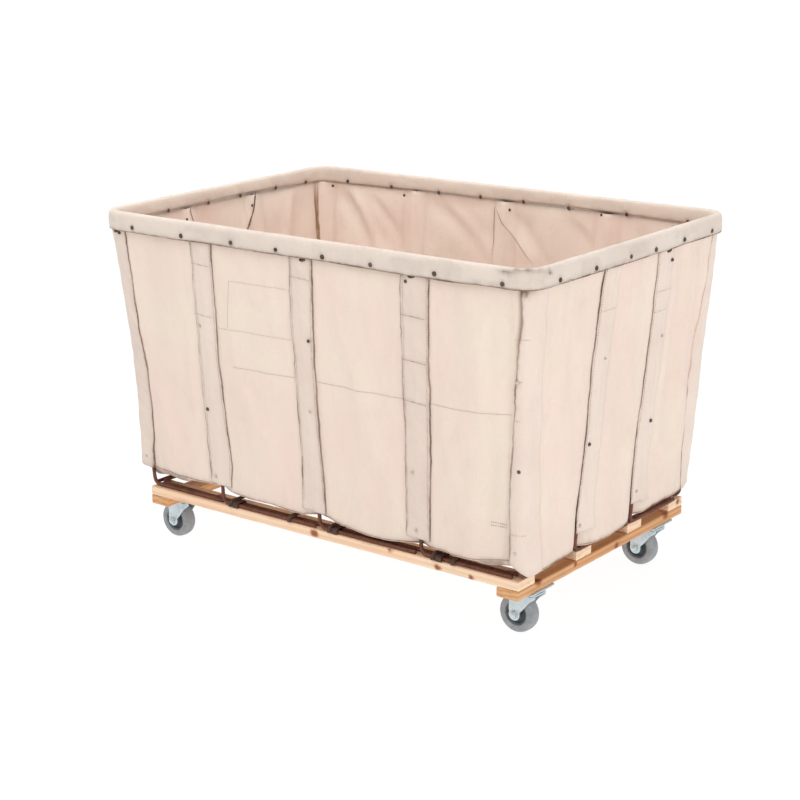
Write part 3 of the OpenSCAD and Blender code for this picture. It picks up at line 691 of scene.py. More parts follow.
# columns run from the edge to the rim at the same share of the outline
rows = []
fab = []
dirt = []
N_WALL = 66
for i in range(N_WALL):
    t = i / (N_WALL - 1)
    z = ZT + (e_z - ZT) * t
    S = u_cols * total(z)
    p = cloth_point(S, z)
    rows.append(p)
    fab.append(np.stack([u_run * 3.95, z, 0 * z], 1))
    # darker along the lower edge; a band of painted shade just under the binding (top) and thin lines of painted shadow
    # along the strap edges (side)
    low = gauss((z - e_z), 0.006) * 0.40 + gauss(z - e_z, 0.05) * 0.06
    top = gauss(z - 0.797, 0.006) * 0.15
    _, near = cloth(S, z)
    side = gauss(np.abs(near) - 0.034, 0.005) * 0.14
    dirt.append(low + top + side)
# the cloth turns under and runs in to the floor
edge = rows[-1]
x, y, nx, ny = plan(u_cols * total(e_z), e_z)
steep = gauss(np.clip(np.abs(x + .485) - .060, 0, 9), .022) + gauss(np.clip(np.abs(x - .490) - .030, 0, 9), .016)
steep = np.clip(steep, 0, 1) * (y < -.25)
RB = 0.004 + 0.017 * steep
for a in (0.3, 0.6, 0.9, 1.2, PI / 2):
    p = edge.copy()
    p[:, 0] -= nx * RB * (1 - math.cos(a))
    p[:, 1] -= ny * RB * (1 - math.cos(a))
    p[:, 2] -= RB * math.sin(a) * 0.8
    rows.append(p)
    fab.append(np.stack([u_run * 3.95, e_z - RB * a, 0 * e_z], 1))
    # the turned-under strip faces down and is darkened: painted shade, strongest where it turns under steeply
    dirt.append(0.5 - 0.2 * a / 1.5 + 0.7 * steep)
base = rows[-1]
mid = np.stack([np.clip(base[:, 0], -0.20, 0.20), 0 * base[:, 1]], 1)
N_FLOOR = 24
for i in range(1, N_FLOOR + 1):
    k = (i / N_FLOOR) ** 1.25
    p = base.copy()
    p[:, :2] = base[:, :2] + (mid - base[:, :2]) * k * 0.995
    d = np.linalg.norm(p[:, :2] - base[:, :2], axis=1)
    settle = sstep(d, 0.0, 0.17 - 0.125 * steep)
    flat = 0.1752 + 0.0015 * noise2(p[:, 0] * 9, p[:, 1] * 9, 41) + 0.001 * noise2(p[:, 0] * 24, p[:, 1] * 24, 43)
    p[:, 2] = base[:, 2] * (1 - settle) + np.maximum(flat, 0.1742) * settle
    rows.append(p)
    fab.append(np.stack([p[:, 0] + 7, p[:, 1] + 3, 0 * e_z], 1))
    # a little darker all over, and darker near the edge and under the steep turn: painted shade on the underside
    dirt.append(0.10 + 0.25 * (1 - settle) + 0.55 * steep * (d < .06))
co = np.concatenate(rows)
faces = grid_faces(len(rows), NU, wrap_cols=True, flip=True)
# close the middle of the floor
last = (len(rows) - 1) * NU
faces.append([last + i for i in range(NU)][::-1])
shell = add_mesh("canvas_basket", co, faces, [MAT_CANVAS, MAT_INNER], {"fab": np.concatenate(fab), "dirt": np.concatenate(dirt)})
sol = shell.modifiers.new("thickness", "SOLIDIFY")
sol.thickness = 0.0016
sol.offset = 0.0
sol.material_offset = 1
sol.material_offset_rim = 0
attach(shell, "cart")
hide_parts("canvas_front", "canvas_back", "canvas_left", "canvas_right", "canvas_floor")

# ------------------------------------------------------------------ straps over the uprights


def strap(soup, cord, S_left, S_right, S_rod, z_top, z_left, z_right, tone=0.0, seed=0, cords=(1.0, 1.0), z_mid=None, u_mid=0.5, cut=(None, None), shade=1.0):
    """One strap: S_left and S_right give its edges, S_rod the rod under it; it ends at z_left and z_right."""
    nv, nu = 84, 25
    v = np.linspace(0, 1, nv)[:, None]
    u = np.linspace(0, 1, nu)[None, :]
    low = np.interp(u, [0, u_mid, 1], [z_left, z_mid if z_mid else z_left + (z_right - z_left) * u_mid, z_right])
    low = low + 0.0015 * noise2(u * 6, 0 * u + seed, 44)
    z = z_top + (low - z_top) * v
    wob = 0.0016 * noise2(z * 26, 0 * z + seed, 50 + seed)
    SL = S_left(z) + wob + 0.0009 * noise2(z * 90, 0 * z, 61 + seed)
    SR = S_right(z) + 0.0016 * noise2(z * 24, 0 * z + 3, 70 + seed) + 0.0009 * noise2(z * 80, 0 * z, 81 + seed)
    S = SL + (SR - SL) * u
    R = S_rod(z)
    d = S - R
    half = np.minimum(R - SL, SR - R) * 0.9
    hump = np.clip(1 - (np.abs(d) / np.maximum(half, 0.012)) ** 2, 0, 1) ** 1.5
    rim_out = 0.0024 * gauss(d, 0.012) + 0.0010 * hump
    puck = 0.0009 * noise2(z * 45, u * 5, 90 + seed) + 0.0008 * noise2(z * 14, u * 3, 93 + seed)
    lift = 0.0024 + puck
    extra = rim_out + lift
    # the end of the strap curls a little away from the cloth
    extra = extra + 0.0016 * sstep(v, 0.965, 1.0) * (0.4 + 0.6 * np.abs(noise2(u * 4, 0 * u + seed, 7)))
    p = rod_like(S, z, extra)
    flat = p.reshape(-1, 3)
    gl, gr = min(cords[0], 1), min(cords[1], 1)
    # darker lines along the strap's edges: frayed, soiled edges together with the painted shadow line along them; a
    # band of painted shade just under the binding; darker at the strap's lower end
    grime_and_shade = gl * (0.42 * gauss(S - SL, 0.0022) + 0.08 * gauss(S - SL, 0.009)) + gr * (0.42 * gauss(SR - S, 0.0022) + 0.08 * gauss(SR - S, 0.009))
    grime_and_shade = grime_and_shade + 0.3 * gauss(z - 0.797, 0.006) + 0.10 * gauss(v - 1, 0.015)
    if seed == 14:
        grime_and_shade = grime_and_shade + 1.0 * gauss(z - 0.790, 0.010) * gauss(u - 0.15, 0.22) * (0.6 + 0.8 * np.abs(noise2(u * 14, z * 160, 77)))
    fabv = np.stack([S, z, 0 * z + seed], -1).reshape(-1, 3)
    soup.add(flat, grid_faces(nv, nu, flip=True), 0, fab=fabv, dirt=(grime_and_shade + tone).ravel())
    # the frayed, darkened edges: dark cords for the frayed edge that also paint the shadow line along it
    for side, j, amount in ((0, 0, cords[0]), (1, nu - 1, cords[1])):
        if amount <= 0:
            continue
        q = 3 * nv
        stop = cut[side] if cut[side] else (z_left if side == 0 else z_right)
        zz = np.linspace(z_top, stop, q)
        SS = np.interp(-zz, -z[:, j], S[:, j]) + (0.0006 if side else -0.0006)
        path = rod_like(SS, zz, 0.0021 + 0.0003 * noise2(zz * 200, 0 * zz, 5 + seed))
        rad = amount * (0.00066 + 0.00036 * noise2(zz * 21, 0 * zz + side, 100 + seed) + 0.00022 * noise2(zz * 170, 0 * zz, 120 + seed))
        cc, ff = tube(path, np.maximum(rad, 0.0003), 6)
        fb = np.repeat(np.stack([zz * 3, zz, 0 * zz], 1), 6, 0)
        dd = np.repeat(shade * (0.30 + 0.55 * noise2(zz * 12, 0 * zz, 130 + seed + side)), 6)
        cord.add(cc, ff, 0, fab=fb, dirt=np.clip(dd, 0, 1))
    return p


def rod_like(S, z, out):
    """A point outside the canvas by out, ignoring the dent behind the rod."""
    x, y, nx, ny = plan(S, z)
    D, near = cloth(S, z)
    k = D - 0.0006 + out
    px, py = corner_push(x, y, z, 1.0)
    x, y = x + px, y + py
    return np.stack([x + nx * k, y + ny * k, np.broadcast_to(z, x.shape) * 1.0], -1)


def edge_fn(wall, zc):
    z_, c_ = line(*zc)
    return lambda z: centre_S(wall, z) + np.interp(z, z_, c_) + (total(z) if wall == 0 else 0)


cord = Soup()


def make_straps(name, node, specs):
    soup = Soup()
    for s in specs:
        strap(soup, cord, **s)
    ob = soup.build(name, [MAT_STRAP])
    m = ob.modifiers.new("thickness", "SOLIDIFY")
    m.thickness = 0.0015
    m.offset = -1.0
    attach(ob, "cart")
    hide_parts(node)
    return ob


def wall_rod(wall, ln):
    return lambda z: line_S(wall, ln, z) + (total(z) if wall == 0 else 0)


TOPZ = 0.7975
make_straps("straps_front_v", "straps_front", [
    dict(S_left=edge_fn(0, [(.80, -.327), (.66, -.330), (.55, -.332), (.40, -.335), (.30, -.3345), (.20, -.335)]),
         S_right=edge_fn(0, [(.80, -.261), (.66, -.266), (.55, -.272), (.42, -.272), (.28, -.262), (.20, -.265)]),
         S_rod=wall_rod(0, FRONT[0]), z_top=TOPZ, z_left=.205, z_right=.203, seed=1, tone=.02, cords=(.8, 1.3), cut=(.214, .208)),
    dict(S_left=edge_fn(0, [(.80, -.031), (.66, -.040), (.55, -.038), (.40, -.042), (.20, -.048)]),
         S_right=edge_fn(0, [(.80, .034), (.66, .022), (.55, .019), (.40, .015), (.20, .020)]),
         S_rod=wall_rod(0, FRONT[1]), z_top=TOPZ, z_left=.199, z_right=.197, seed=2, tone=.04, cords=(.8, 1.5), cut=(.208, .206)),
    dict(S_left=edge_fn(0, [(.80, .276), (.66, .270), (.55, .262), (.40, .258), (.20, .247)]),
         S_right=edge_fn(0, [(.80, .348), (.66, .340), (.55, .331), (.40, .324), (.20, .312)]),
         S_rod=wall_rod(0, FRONT[2]), z_top=TOPZ, z_left=.196, z_right=.194, seed=3, tone=.06, cords=(.85, 1.4), cut=(.206, .203)),
])
make_straps("straps_right_v", "straps_right", [
    dict(S_left=edge_fn(1, [(.80, -.116), (.62, -.132), (.45, -.137), (.20, -.149)]),
         S_right=edge_fn(1, [(.80, -.050), (.62, -.066), (.45, -.072), (.20, -.086)]),
         S_rod=wall_rod(1, RIGHT[0]), z_top=TOPZ, z_left=.208, z_right=.204, seed=4, cords=(1.3, 0), cut=(.214, None)),
    dict(S_left=edge_fn(1, [(.80, .102), (.62, .099), (.45, .091), (.20, .083)]),
         S_right=edge_fn(1, [(.80, .170), (.62, .168), (.45, .160), (.20, .150)]),
         S_rod=wall_rod(1, RIGHT[1]), z_top=TOPZ, z_left=.210, z_right=.206, seed=5, cords=(.75, 0), shade=.6, cut=(.216, None)),
])
make_straps("straps_back_v", "straps_back", [
    dict(S_left=edge_fn(2, [(.80, c - .034), (.20, c - .031)]), S_right=edge_fn(2, [(.80, c + .034), (.20, c + .036)]),
         S_rod=wall_rod(2, BACK[i]), z_top=TOPZ, z_left=.208, z_right=.206, seed=6 + i) for i, c in enumerate((-.290, .004, .294))])
make_straps("straps_left_v", "straps_left", [
    dict(S_left=edge_fn(3, [(.80, c - .034), (.20, c - .035)]), S_right=edge_fn(3, [(.80, c + .034), (.20, c + .032)]),
         S_rod=wall_rod(3, LEFT[i]), z_top=TOPZ, z_left=.208, z_right=.208, seed=10 + i) for i, c in enumerate((-.118, .120))])


def cor(i):
    return lambda z: corner_S(i, z)


# corner straps: front right, back right, back left, front left
fr_front = edge_fn(0, [(.80, .573), (.73, .572), (.66, .560), (.58, .551), (.50, .544), (.40, .530), (.30, .524), (.24, .523), (.17, .522)])
fl_front = edge_fn(0, [(.80, -.537), (.72, -.531), (.64, -.526), (.55, -.519), (.48, -.510), (.40, -.509), (.30, -.517), (.20, -.526)])
make_straps("straps_corner_v", "straps_corner", [
    dict(S_left=lambda z: fr_front(z) - total(z), S_right=lambda z: centre_S(1, z) - np.interp(z, [.2, .8], [.292, .330]),
         S_rod=cor(0), z_top=TOPZ, z_left=.196, z_mid=.166, u_mid=.52, z_right=.174, seed=14, cords=(1.5, 0), shade=.35),
    dict(S_left=lambda z: centre_S(1, z) + np.interp(z, [.2, .8], [.300, .345]), S_right=lambda z: centre_S(2, z) - np.interp(z, [.2, .8], [.500, .545]),
         S_rod=cor(1), z_top=TOPZ, z_left=.186, z_right=.200, seed=15, cords=(0, .9)),
    dict(S_left=lambda z: centre_S(2, z) + np.interp(z, [.2, .8], [.500, .548]), S_right=lambda z: centre_S(3, z) - np.interp(z, [.2, .8], [.296, .340]),
         S_rod=cor(2), z_top=TOPZ, z_left=.205, z_right=.205, seed=16, cords=(.9, .9)),
    dict(S_left=lambda z: centre_S(3, z) + np.interp(z, [.2, .8], [.300, .345]), S_right=lambda z: fl_front(z),
         S_rod=lambda z: corner_S(3, z), z_top=TOPZ, z_left=.207, z_right=.203, seed=17, tone=.10, cords=(.9, 1.3)),
])

# ------------------------------------------------------------------ binding over the rim
RLX, RLY, RR_ = 0.610, 0.406, 0.060


def rim_plan(u):
    """Outer outline of the rim at share u of its length, starting in the middle of the front."""
    a, b, q = RLX - RR_, RLY - RR_, RR_ * PI / 2
    L = 4 * a + 4 * b + 4 * q
    s = np.mod(u * L + a, L)
    x, y, nx, ny = (np.zeros_like(s) for _ in range(4))
    start = 0.0
    for w in range(4):
        half, depth = ((a, RLY), (b, RLX))[w % 2]
        ang = w * PI / 2
        tx, ty, ox, oy = math.cos(ang), math.sin(ang), math.sin(ang), -math.cos(ang)
        d = s - start
        on = (d >= 0) & (d <= 2 * half)
        c = d - half
        x, y = np.where(on, c * tx + depth * ox, x), np.where(on, c * ty + depth * oy, y)
        nx, ny = np.where(on, ox, nx), np.where(on, oy, ny)
        start += 2 * half
        d = s - start
        on = (d > 0) & (d < q)
        th = d / RR_
        dx, dy = ox * np.cos(th) + tx * np.sin(th), oy * np.cos(th) + ty * np.sin(th)
        x = np.where(on, half * tx + (depth - RR_) * ox + dx * RR_, x)
        y = np.where(on, half * ty + (depth - RR_) * oy + dy * RR_, y)
        nx, ny = np.where(on, dx, nx), np.where(on, dy, ny)
        start += q
    return x, y, nx, ny, L


RIV_F = [-.498, -.343, -.191, -.059, .073, .204, .370, .538]
RIV_R = [-.306, -.170, -.034, .070, .193, .316]
RIV_B = [-.509, -.345, -.183, -.052, .077, .207, .359, .505]     # place is -X
RIV_L = [-.316, -.197, -.063, .054, .194, .306]                  # place is -Y
RIVETS = []
for w, cs in enumerate((RIV_F, RIV_R, RIV_B, RIV_L)):
    for c in cs:
        ang = w * PI / 2
        t_ = np.array([math.cos(ang), math.sin(ang)])
        o_ = np.array([math.sin(ang), -math.cos(ang)])
        RIVETS.append((c * t_ + (RLY, RLX)[w % 2] * o_, o_, w, c))

SEC = [(-.0030, .7953), (-.0008, .7962), (.0000, .7985), (.0002, .803), (.0005, .810), (.0004, .818), (.0000, .825), (-.0010, .8305),
       (-.0032, .8350), (-.0068, .8375), (-.0105, .8380), (-.0142, .8373), (-.0172, .8350), (-.0192, .8310), (-.0202, .825),
       (-.0206, .816), (-.0205, .806), (-.0202, .800), (-.0194, .7962), (-.0175, .7953), (-.0150, .7975), (-.0060, .7975)]
NR = 640
ur_run = np.arange(NR) / NR
ur = np.mod(ur_run + 0.349, 1)
xr, yr, nxr, nyr, LR = rim_plan(ur)
bend = np.zeros((NR,))
riv_d = np.full(NR, 9.0)
for p, o_, w, c in RIVETS:
    on = (nxr * o_[0] + nyr * o_[1]) > 0.9
    riv_d = np.where(on, np.minimum(riv_d, np.hypot(xr - p[0], yr - p[1])), riv_d)
sect = []
fabr, dirtr = [], []
length = 0.0
for j, (n0, z0) in enumerate(SEC):
    if j:
        length += math.hypot(n0 - SEC[j - 1][0], z0 - SEC[j - 1][1])
    outer = n0 > -0.010
    low = z0 < 0.804
    n = n0 + 0.0007 * noise2(ur * 70, 0 * ur + (0 if outer else 5), 201, 70) * (1 if z0 > .797 else .5)
    n = n + (0.0010 if outer else -0.0010) * noise2(ur * 200, 0 * ur + z0 * 60, 205, 200) * 0.7
    n = n - (0.0012 if outer else -0.0012) * gauss(riv_d, 0.009) * gauss(z0 - 0.8045, 0.010)
    zz = z0 + 0.0010 * noise2(ur * 30, 0 * ur, 210, 30) * (0.4 if z0 > .82 else 1) + (0.0009 * noise2(ur * 160, 0 * ur + (0 if outer else 9), 213, 160) if low else 0)
    if n0 < -.0140 and z0 < .817:
        up_in = .0095 + .0045 * noise2(ur * 11, 0 * ur + 3, 216, 11)
        zz = .817 - (.817 - zz) * (.817 - .7953 - up_in) / (.817 - .7953)
        n = n - .0010
    if low:
        zz = zz - 0.0012 * (0.5 + 0.5 * noise2(ur * 46, 0 * ur + (2 if outer else 7), 219, 46))
    sect.append(np.stack([xr + nxr * n, yr + nyr * n, zz], 1))
    fabr.append(np.stack([ur_run * LR, 0 * ur + length, 0 * ur + 40], 1))
    g = (0.62 if outer else 0.25) * gauss(z0 - 0.7950, 0.0026) + 0.14 * gauss(z0 - 0.797, 0.008)
    g = g + 0.35 * gauss(riv_d, 0.007) * gauss(z0 - 0.8045, 0.008)
    scuff = gauss(np.hypot(xr - .585, yr + .38), .045) * gauss(z0 - .835, .005) * (0.8 + 0.9 * noise2(ur * 300, 0 * ur + length * 200, 230))
    scuff2 = gauss(np.hypot(xr - .545, yr + .406), .016) * gauss(z0 - .829, .004)
    scuff3 = gauss(np.hypot(xr - .609, yr + .343), .010) * gauss(z0 - .826, .006) * (0.7 + 0.8 * noise2(ur * 300, 0 * ur + length * 150, 236)) * (n0 > -.01)
    dirtr.append(np.clip(g + 0.55 * scuff + 0.9 * scuff2 + 0.9 * scuff3 + 0.10 * (noise2(ur * 40, 0 * ur + length * 40, 240) > .35), 0, 1) + 0 * ur)
fm = np.repeat([1 if 12 <= j <= 19 else 0 for j in range(len(SEC))], NR)
binding = add_mesh("rim_binding_v", np.concatenate(sect), grid_faces(len(SEC), NR, wrap_rows=True, wrap_cols=True, flip=True), [MAT_BIND, MAT_BIND_IN],
                   {"fab": np.concatenate(fabr), "dirt": np.concatenate(dirtr)}, fm)
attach(binding, "cart")
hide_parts("rim_binding")


def fix_normals(ob):
    """Makes the faces look outwards if they look inwards, by the sign of the mesh's volume."""
    me = ob.data
    v = 0.0
    me.calc_loop_triangles()
    co_ = np.array([q.co for q in me.vertices])
    tri = np.array([list(t.vertices) for t in me.loop_triangles])
    a_, b_, c_ = co_[tri[:, 0]], co_[tri[:, 1]], co_[tri[:, 2]]
    v = np.einsum("ij,ij->i", a_, np.cross(b_, c_)).sum()
    if v < 0:
        me.flip_normals()


fix_normals(binding)

# dark, worn edge under the binding, outside and inside
for off, amp, sd in ((-.0012, .92, 300), (-.0208, .34, 310)):
    k = np.linspace(0, 1, 1100)
    x_, y_, a_, b_, _ = rim_plan(k)
    lift_in = 0 * k if off > -.01 else .0095 + .0045 * noise2(k * 11, 0 * k + 3, 216, 11)
    zz = .7948 + lift_in + .0010 * noise2(k * 30, 0 * k, 210, 30) - .0010 * (0.5 + 0.5 * noise2(k * 46, 0 * k + (2 if off > -.01 else 7), 219, 46))
    path = np.stack([x_ + a_ * off, y_ + b_ * off, zz], 1)
    rad = amp * (.0010 + .0005 * noise2(k * 90, 0 * k, sd, 90) + .0004 * noise2(k * 400, 0 * k, sd + 1, 400))
    cc, ff = tube(path, np.maximum(rad, .0004), 6, caps=False)
    cord.add(cc, ff, 0, fab=np.repeat(np.stack([k * 4, 0 * k, 0 * k], 1), 6, 0), dirt=np.repeat(np.clip((.55 if off > -.01 else .3) + .5 * noise2(k * 60, 0 * k, sd + 2, 60), 0, 1), 6))

# ------------------------------------------------------------------ rivets
riv = Soup()
DOME = [(.0001, -.0016), (.0046, -.0016), (.0050, -.0006), (.0046, .0006), (.0036, .0016), (.0018, .0023), (.0001, .0025)]
rs = np.random.RandomState(4)
for p, o_, w, c in RIVETS:
    zc = .8045 + rs.uniform(-.0015, .0015)
    sc = rs.uniform(.92, 1.12)
    d = np.array([o_[0] + rs.uniform(-.08, .08), o_[1] + rs.uniform(-.08, .08), rs.uniform(-.06, .1)])
    pr = [(a_ * sc, h_) for a_, h_ in DOME]
    cc, ff = lathe(pr, 14, (p[0] + o_[0] * .0004, p[1] + o_[1] * .0004, zc), d)
    riv.add(cc, ff, 0)
    q = (p[0] - o_[0] * .0203, p[1] - o_[1] * .0203, zc)
    pr = [(.0001, -.0010), (.0044, -.0010), (.0050, .0002), (.0040, .0012), (.0022, .0018), (.0001, .0019)]
    cc, ff = lathe(pr, 14, q, -d)
    riv.add(cc, ff, 0)
rim_rivets = riv.build("rim_rivets_v", [MAT_RIVET])
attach(rim_rivets, "cart")
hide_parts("rim_rivets")

srv = Soup()


def strap_rivet(wall, c, z, kind=0, size=1.0, out=.0060):
    S = centre_S(wall, np.array(z)) + c
    p = rod_like(S, np.array(z), out)
    _, _, nx_, ny_ = plan(S, np.array(z))
    d = np.array([float(nx_), float(ny_), -.085])
    pr = [(a_ * size * .9, h_ * (1 if kind == 0 else .6)) for a_, h_ in DOME]
    cc, ff = lathe(pr, 12, p, d)
    srv.add(cc, ff, kind)
    # the clenched end on the inside
    q = cloth_point(S, np.array(z), -.0012)
    pr = [(.0001, -.0008), (.0034 * size, -.0008), (.0038 * size, .0002), (.0028 * size, .0010), (.0001, .0013)]
    cc, ff = lathe(pr, 12, q, -d)
    srv.add(cc, ff, 0)


# dark heads (kind 0) and dull washers (kind 1) as they sit on the straps
for wall, c, z, kind, size, out in [
    (0, -.552, .786, 0, .85, .0055), (0, .289, .777, 0, .85, .0052), (0, .010, .606, 0, .9, .0075), (0, -.325, .389, 0, 1.0, .0045), (0, .549, .404, 0, .95, .0045),
    (0, -.320, .222, 1, .9, .0050), (0, .275, .214, 1, .9, .0080), (0, .535, .222, 1, .9, .0045), (0, -.322, .592, 1, .8, .0050),
    (0, .275, .350, 1, .8, .0070), (0, .556, .598, 1, .9, .0050), (0, -.003, .440, 1, .75, .0085), (0, -.535, .230, 1, .8, .0045),
    (1, -.123, .407, 0, 1.0, .0060), (1, .140, .396, 0, 1.0, .0060), (1, .162, .764, 0, .95, .0050), (1, .153, .592, 1, .85, .0060), (1, -.133, .222, 1, 1.0, .0085),
    (1, .106, .235, 1, .8, .0075), (1, -.090, .592, 1, .7, .0080),
    (2, -.275, .796, 0, 1, .006), (2, -.010, .781, 0, 1, .006), (2, .320, .785, 0, 1, .006), (2, .560, .787, 0, 1, .005), (2, -.555, .774, 1, 1, .005), (2, .541, .402, 0, 1, .005), (2, -.541, .402, 0, 1, .005), (2, .530, .222, 1, .9, .005), (2, -.530, .222, 1, .9, .005), (2, -.275, .600, 0, 1, .006), (2, .020, .600, 1, 1, .006), (2, .310, .600, 0, 1, .006),
    (2, -.275, .402, 0, 1, .006), (2, .020, .402, 0, 1, .006), (2, .310, .402, 1, 1, .006), (2, -.275, .222, 1, 1, .006), (2, .020, .222, 0, 1, .006), (2, .310, .222, 0, 1, .006),
    (3, -.102, .774, 0, 1, .006), (3, .135, .774, 0, 1, .006), (3, -.102, .600, 1, 1, .006), (3, .135, .600, 0, 1, .006), (3, -.102, .402, 0, 1, .006), (3, .135, .402, 0, 1, .006),
    (3, -.102, .222, 0, 1, .006), (3, .135, .222, 1, 1, .006)]:
    strap_rivet(wall, c, z, kind, size, out)
# flattened heads of the rods' clips just under the rim
for wall, c, z, w_ in [(0, .010, .7895, 1.3), (0, .306, .7905, 1.6), (1, .140, .7895, 1.5), (0, -.560, .7905, 1.3), (2, -.29, .79, 1.2), (2, .0, .79, 1.2), (3, .12, .79, 1.2)]:
    S = centre_S(wall, np.array(z)) + c
    p = rod_like(S, np.array(z), .0062)
    _, _, nx_, ny_ = plan(S, np.array(z))
    t_ = np.array([-float(ny_), float(nx_), 0.0])
    path = [p - t_ * .0055 * w_, p - t_ * .002 * w_ + (0, 0, -.001), p + t_ * .003 * w_, p + t_ * .0058 * w_ + (0, 0, .001)]
    cc, ff = tube(smooth_path(path, 10), np.array([.0018, .003, .0036, .0038, .0036, .0036, .0034, .003, .0026, .0016]), 8)
    srv.add(cc, ff, 0)
strap_rivets = srv.build("strap_rivets_v", [MAT_RIVET, MAT_EYE])
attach(strap_rivets, "cart")
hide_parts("strap_rivets")

# ------------------------------------------------------------------ stitching
thread = Soup()


def stitch(wall, pts, pitch=.0052, size=.0006, out=.0022, gap=.62, use_rod=False, soil=.35):
    """A row of stitches along a line of (place, height) on a wall."""
    pts = np.asarray(pts, float)
    s = np.concatenate([[0], np.cumsum(np.linalg.norm(np.diff(pts, axis=0), axis=1))])
    m = int(s[-1] / pitch)
    for i in range(m):
        k0, k1 = i * pitch, (i + gap) * pitch
        k = np.array([k0, (k0 + k1) / 2, k1])
        c, z = np.interp(k, s, pts[:, 0]), np.interp(k, s, pts[:, 1])
        S = centre_S(wall, z) + c
        q = rod_like(S, z, out + np.array([-.0003, .0004, -.0003]))
        if not use_rod:
            _, near = cloth(S, z)
            x_, y_, nx_, ny_ = plan(S, z)
            dent = .0062 * gauss(near, .016)
            q[:, 0] -= nx_ * dent
            q[:, 1] -= ny_ * dent
        cc, ff = tube(q, [size * .6, size, size * .6], 5)
        thread.add(cc, ff, 0, fab=np.full((len(cc), 3), 0.01 * i), dirt=np.full(len(cc), min(1, soil + .3 * math.sin(i * 1.7))))


OUTC = .0014
# the seam across the front, the faint patches on it, and their lines
stitch(0, [(-.229, .508), (-.10, .511), (.013, .514), (.263, .514), (.417, .517), (.545, .527)], out=OUTC)
stitch(0, [(-.232, .602), (-.219, .712), (-.041, .715)], out=OUTC, size=.0005, soil=.1)
stitch(0, [(-.265, .596), (-.15, .598), (-.041, .600)], out=OUTC, size=.0005, soil=.2)
stitch(0, [(.477, .279), (.523, .279)], out=OUTC, size=.0008)
stitch(0, [(.477, .272), (.523, .273)], out=OUTC, size=.0008)
for c0, c1, z in ((-.326, -.264, .742), (-.031, .030, .748), (.274, .341, .705), (.270, .334, .606), (.262, .326, .514), (-.333, -.273, .622)):
    stitch(0, [(c0, z), (c1, z - .004)], out=.0062, use_rod=True, size=.0010 if c0 > .2 else .0008, soil=.85 if c0 > .2 else .5)
for c0, c1, z in ((.556, .59, .690), (.551, .58, .600), (.545, .575, .515), (.525, .56, .262)):
    stitch(0, [(c0, z), (c1, z)], out=.0050, use_rod=True, size=.0006)
for c0, c1, z in ((-.119, -.058, .70), (.103, .166, .70), (.100, .165, .655)):
    stitch(1, [(c0, z), (c1, z)], out=.0062, use_rod=True, size=.0005)
# rows of stitching along both sides of the front straps and along one side of each right strap
for wall, e in ((0, [(.795, -.322), (.55, -.327), (.215, -.330)]), (0, [(.795, -.266), (.55, -.277), (.42, -.277), (.28, -.267), (.215, -.270)]),
                (0, [(.795, -.026), (.66, -.035), (.55, -.033), (.215, -.043)]), (0, [(.795, .029), (.66, .017), (.55, .014), (.40, .010), (.215, .015)]),
                (0, [(.795, .281), (.66, .275), (.55, .267), (.215, .252)]), (0, [(.795, .343), (.66, .335), (.55, .326), (.215, .307)]),
                (1, [(.795, -.111), (.62, -.127), (.45, -.132), (.215, -.144)]),
                (1, [(.795, .107), (.62, .104), (.45, .096), (.215, .088)])):
    stitch(wall, [(c, z) for z, c in e], pitch=.0060, out=.0036, size=.0005, use_rod=True)
thread_ob = thread.build("stitching", [MAT_THREAD])
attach(thread_ob, "cart")
# hem along the lower edge
k = np.linspace(0, 1, 1400, endpoint=False)
ez = edge_z(k * L_low) + 0.0012 * noise2(k * 120, 0 * k, 31, 120)
hem = cloth_point(k * total(ez), ez, .0012)
rad = .0009 + .0005 * noise2(k * 80, 0 * k, 401, 80) + .0003 * noise2(k * 420, 0 * k, 402, 420)
cc, ff = tube(np.vstack([hem, hem[:1]]), np.maximum(np.append(rad, rad[0]), .0004), 6, caps=False)
kk = np.append(k, 1)
cord.add(cc, ff, 0, fab=np.repeat(np.stack([kk * 4, 0 * kk, 0 * kk], 1), 6, 0), dirt=np.repeat(np.clip(.15 + .5 * noise2(kk * 50, 0 * kk, 404, 50), 0, 1), 6))


def inner_seam(wall, pts, radius, seed, dark=.5, mat=0, sunk=0.0):
    """A dark, puckered seam on the inside of a wall along (place, height); also used to draw creases as dark lines of
    painted shade.
    """
    p = smooth_path([(c, z, 0) for c, z in pts], 90)
    c = p[:, 0] + .0010 * noise2(p[:, 1] * 40, 0 * p[:, 1], seed)
    z = p[:, 1]
    q = cloth_point(centre_S(wall, z) + c, z, -.0020 + sunk)
    rr = radius * (1 + .35 * noise2(z * 60, 0 * z, seed + 1)) * np.clip(np.minimum(np.linspace(0, 9, 90), np.linspace(9, 0, 90)), .25, 1)
    cc, ff = tube(q, rr, 6)
    cord.add(cc, ff, mat, fab=np.repeat(np.stack([z * 3, z, 0 * z], 1), 6, 0), dirt=np.repeat(np.clip(dark + .4 * noise2(z * 25, 0 * z, seed + 2), 0, 1), 6))


# seen inside: the corner's double seam, two creases on the left wall drawn as dark lines of painted shade, and pocket
# seams
inner_seam(3, [(-.3550, .806), (-.3475, .70), (-.3425, .55), (-.3325, .30)], .0013, 800, .25, 1)
inner_seam(3, [(-.3660, .806), (-.3560, .70), (-.3510, .55), (-.3410, .30)], .0015, 803, .35, 1)
inner_seam(3, [(-.3605, .806), (-.3518, .70), (-.3468, .55), (-.3368, .30)], .0017, 804, -.3, 1, -.0002)
inner_seam(3, [(-.118, .806), (-.104, .765), (-.088, .735), (-.062, .700)], .0017, 806, .8)
inner_seam(3, [(.122, .806), (.120, .785), (.112, .760)], .0011, 809, .6)
inner_seam(2, [(.036, .790), (.036, .74), (.037, .66)], .0006, 812, .1)
inner_seam(2, [(.035, .785), (.006, .748), (-.030, .715), (-.085, .655)], .0007, 815, .05)


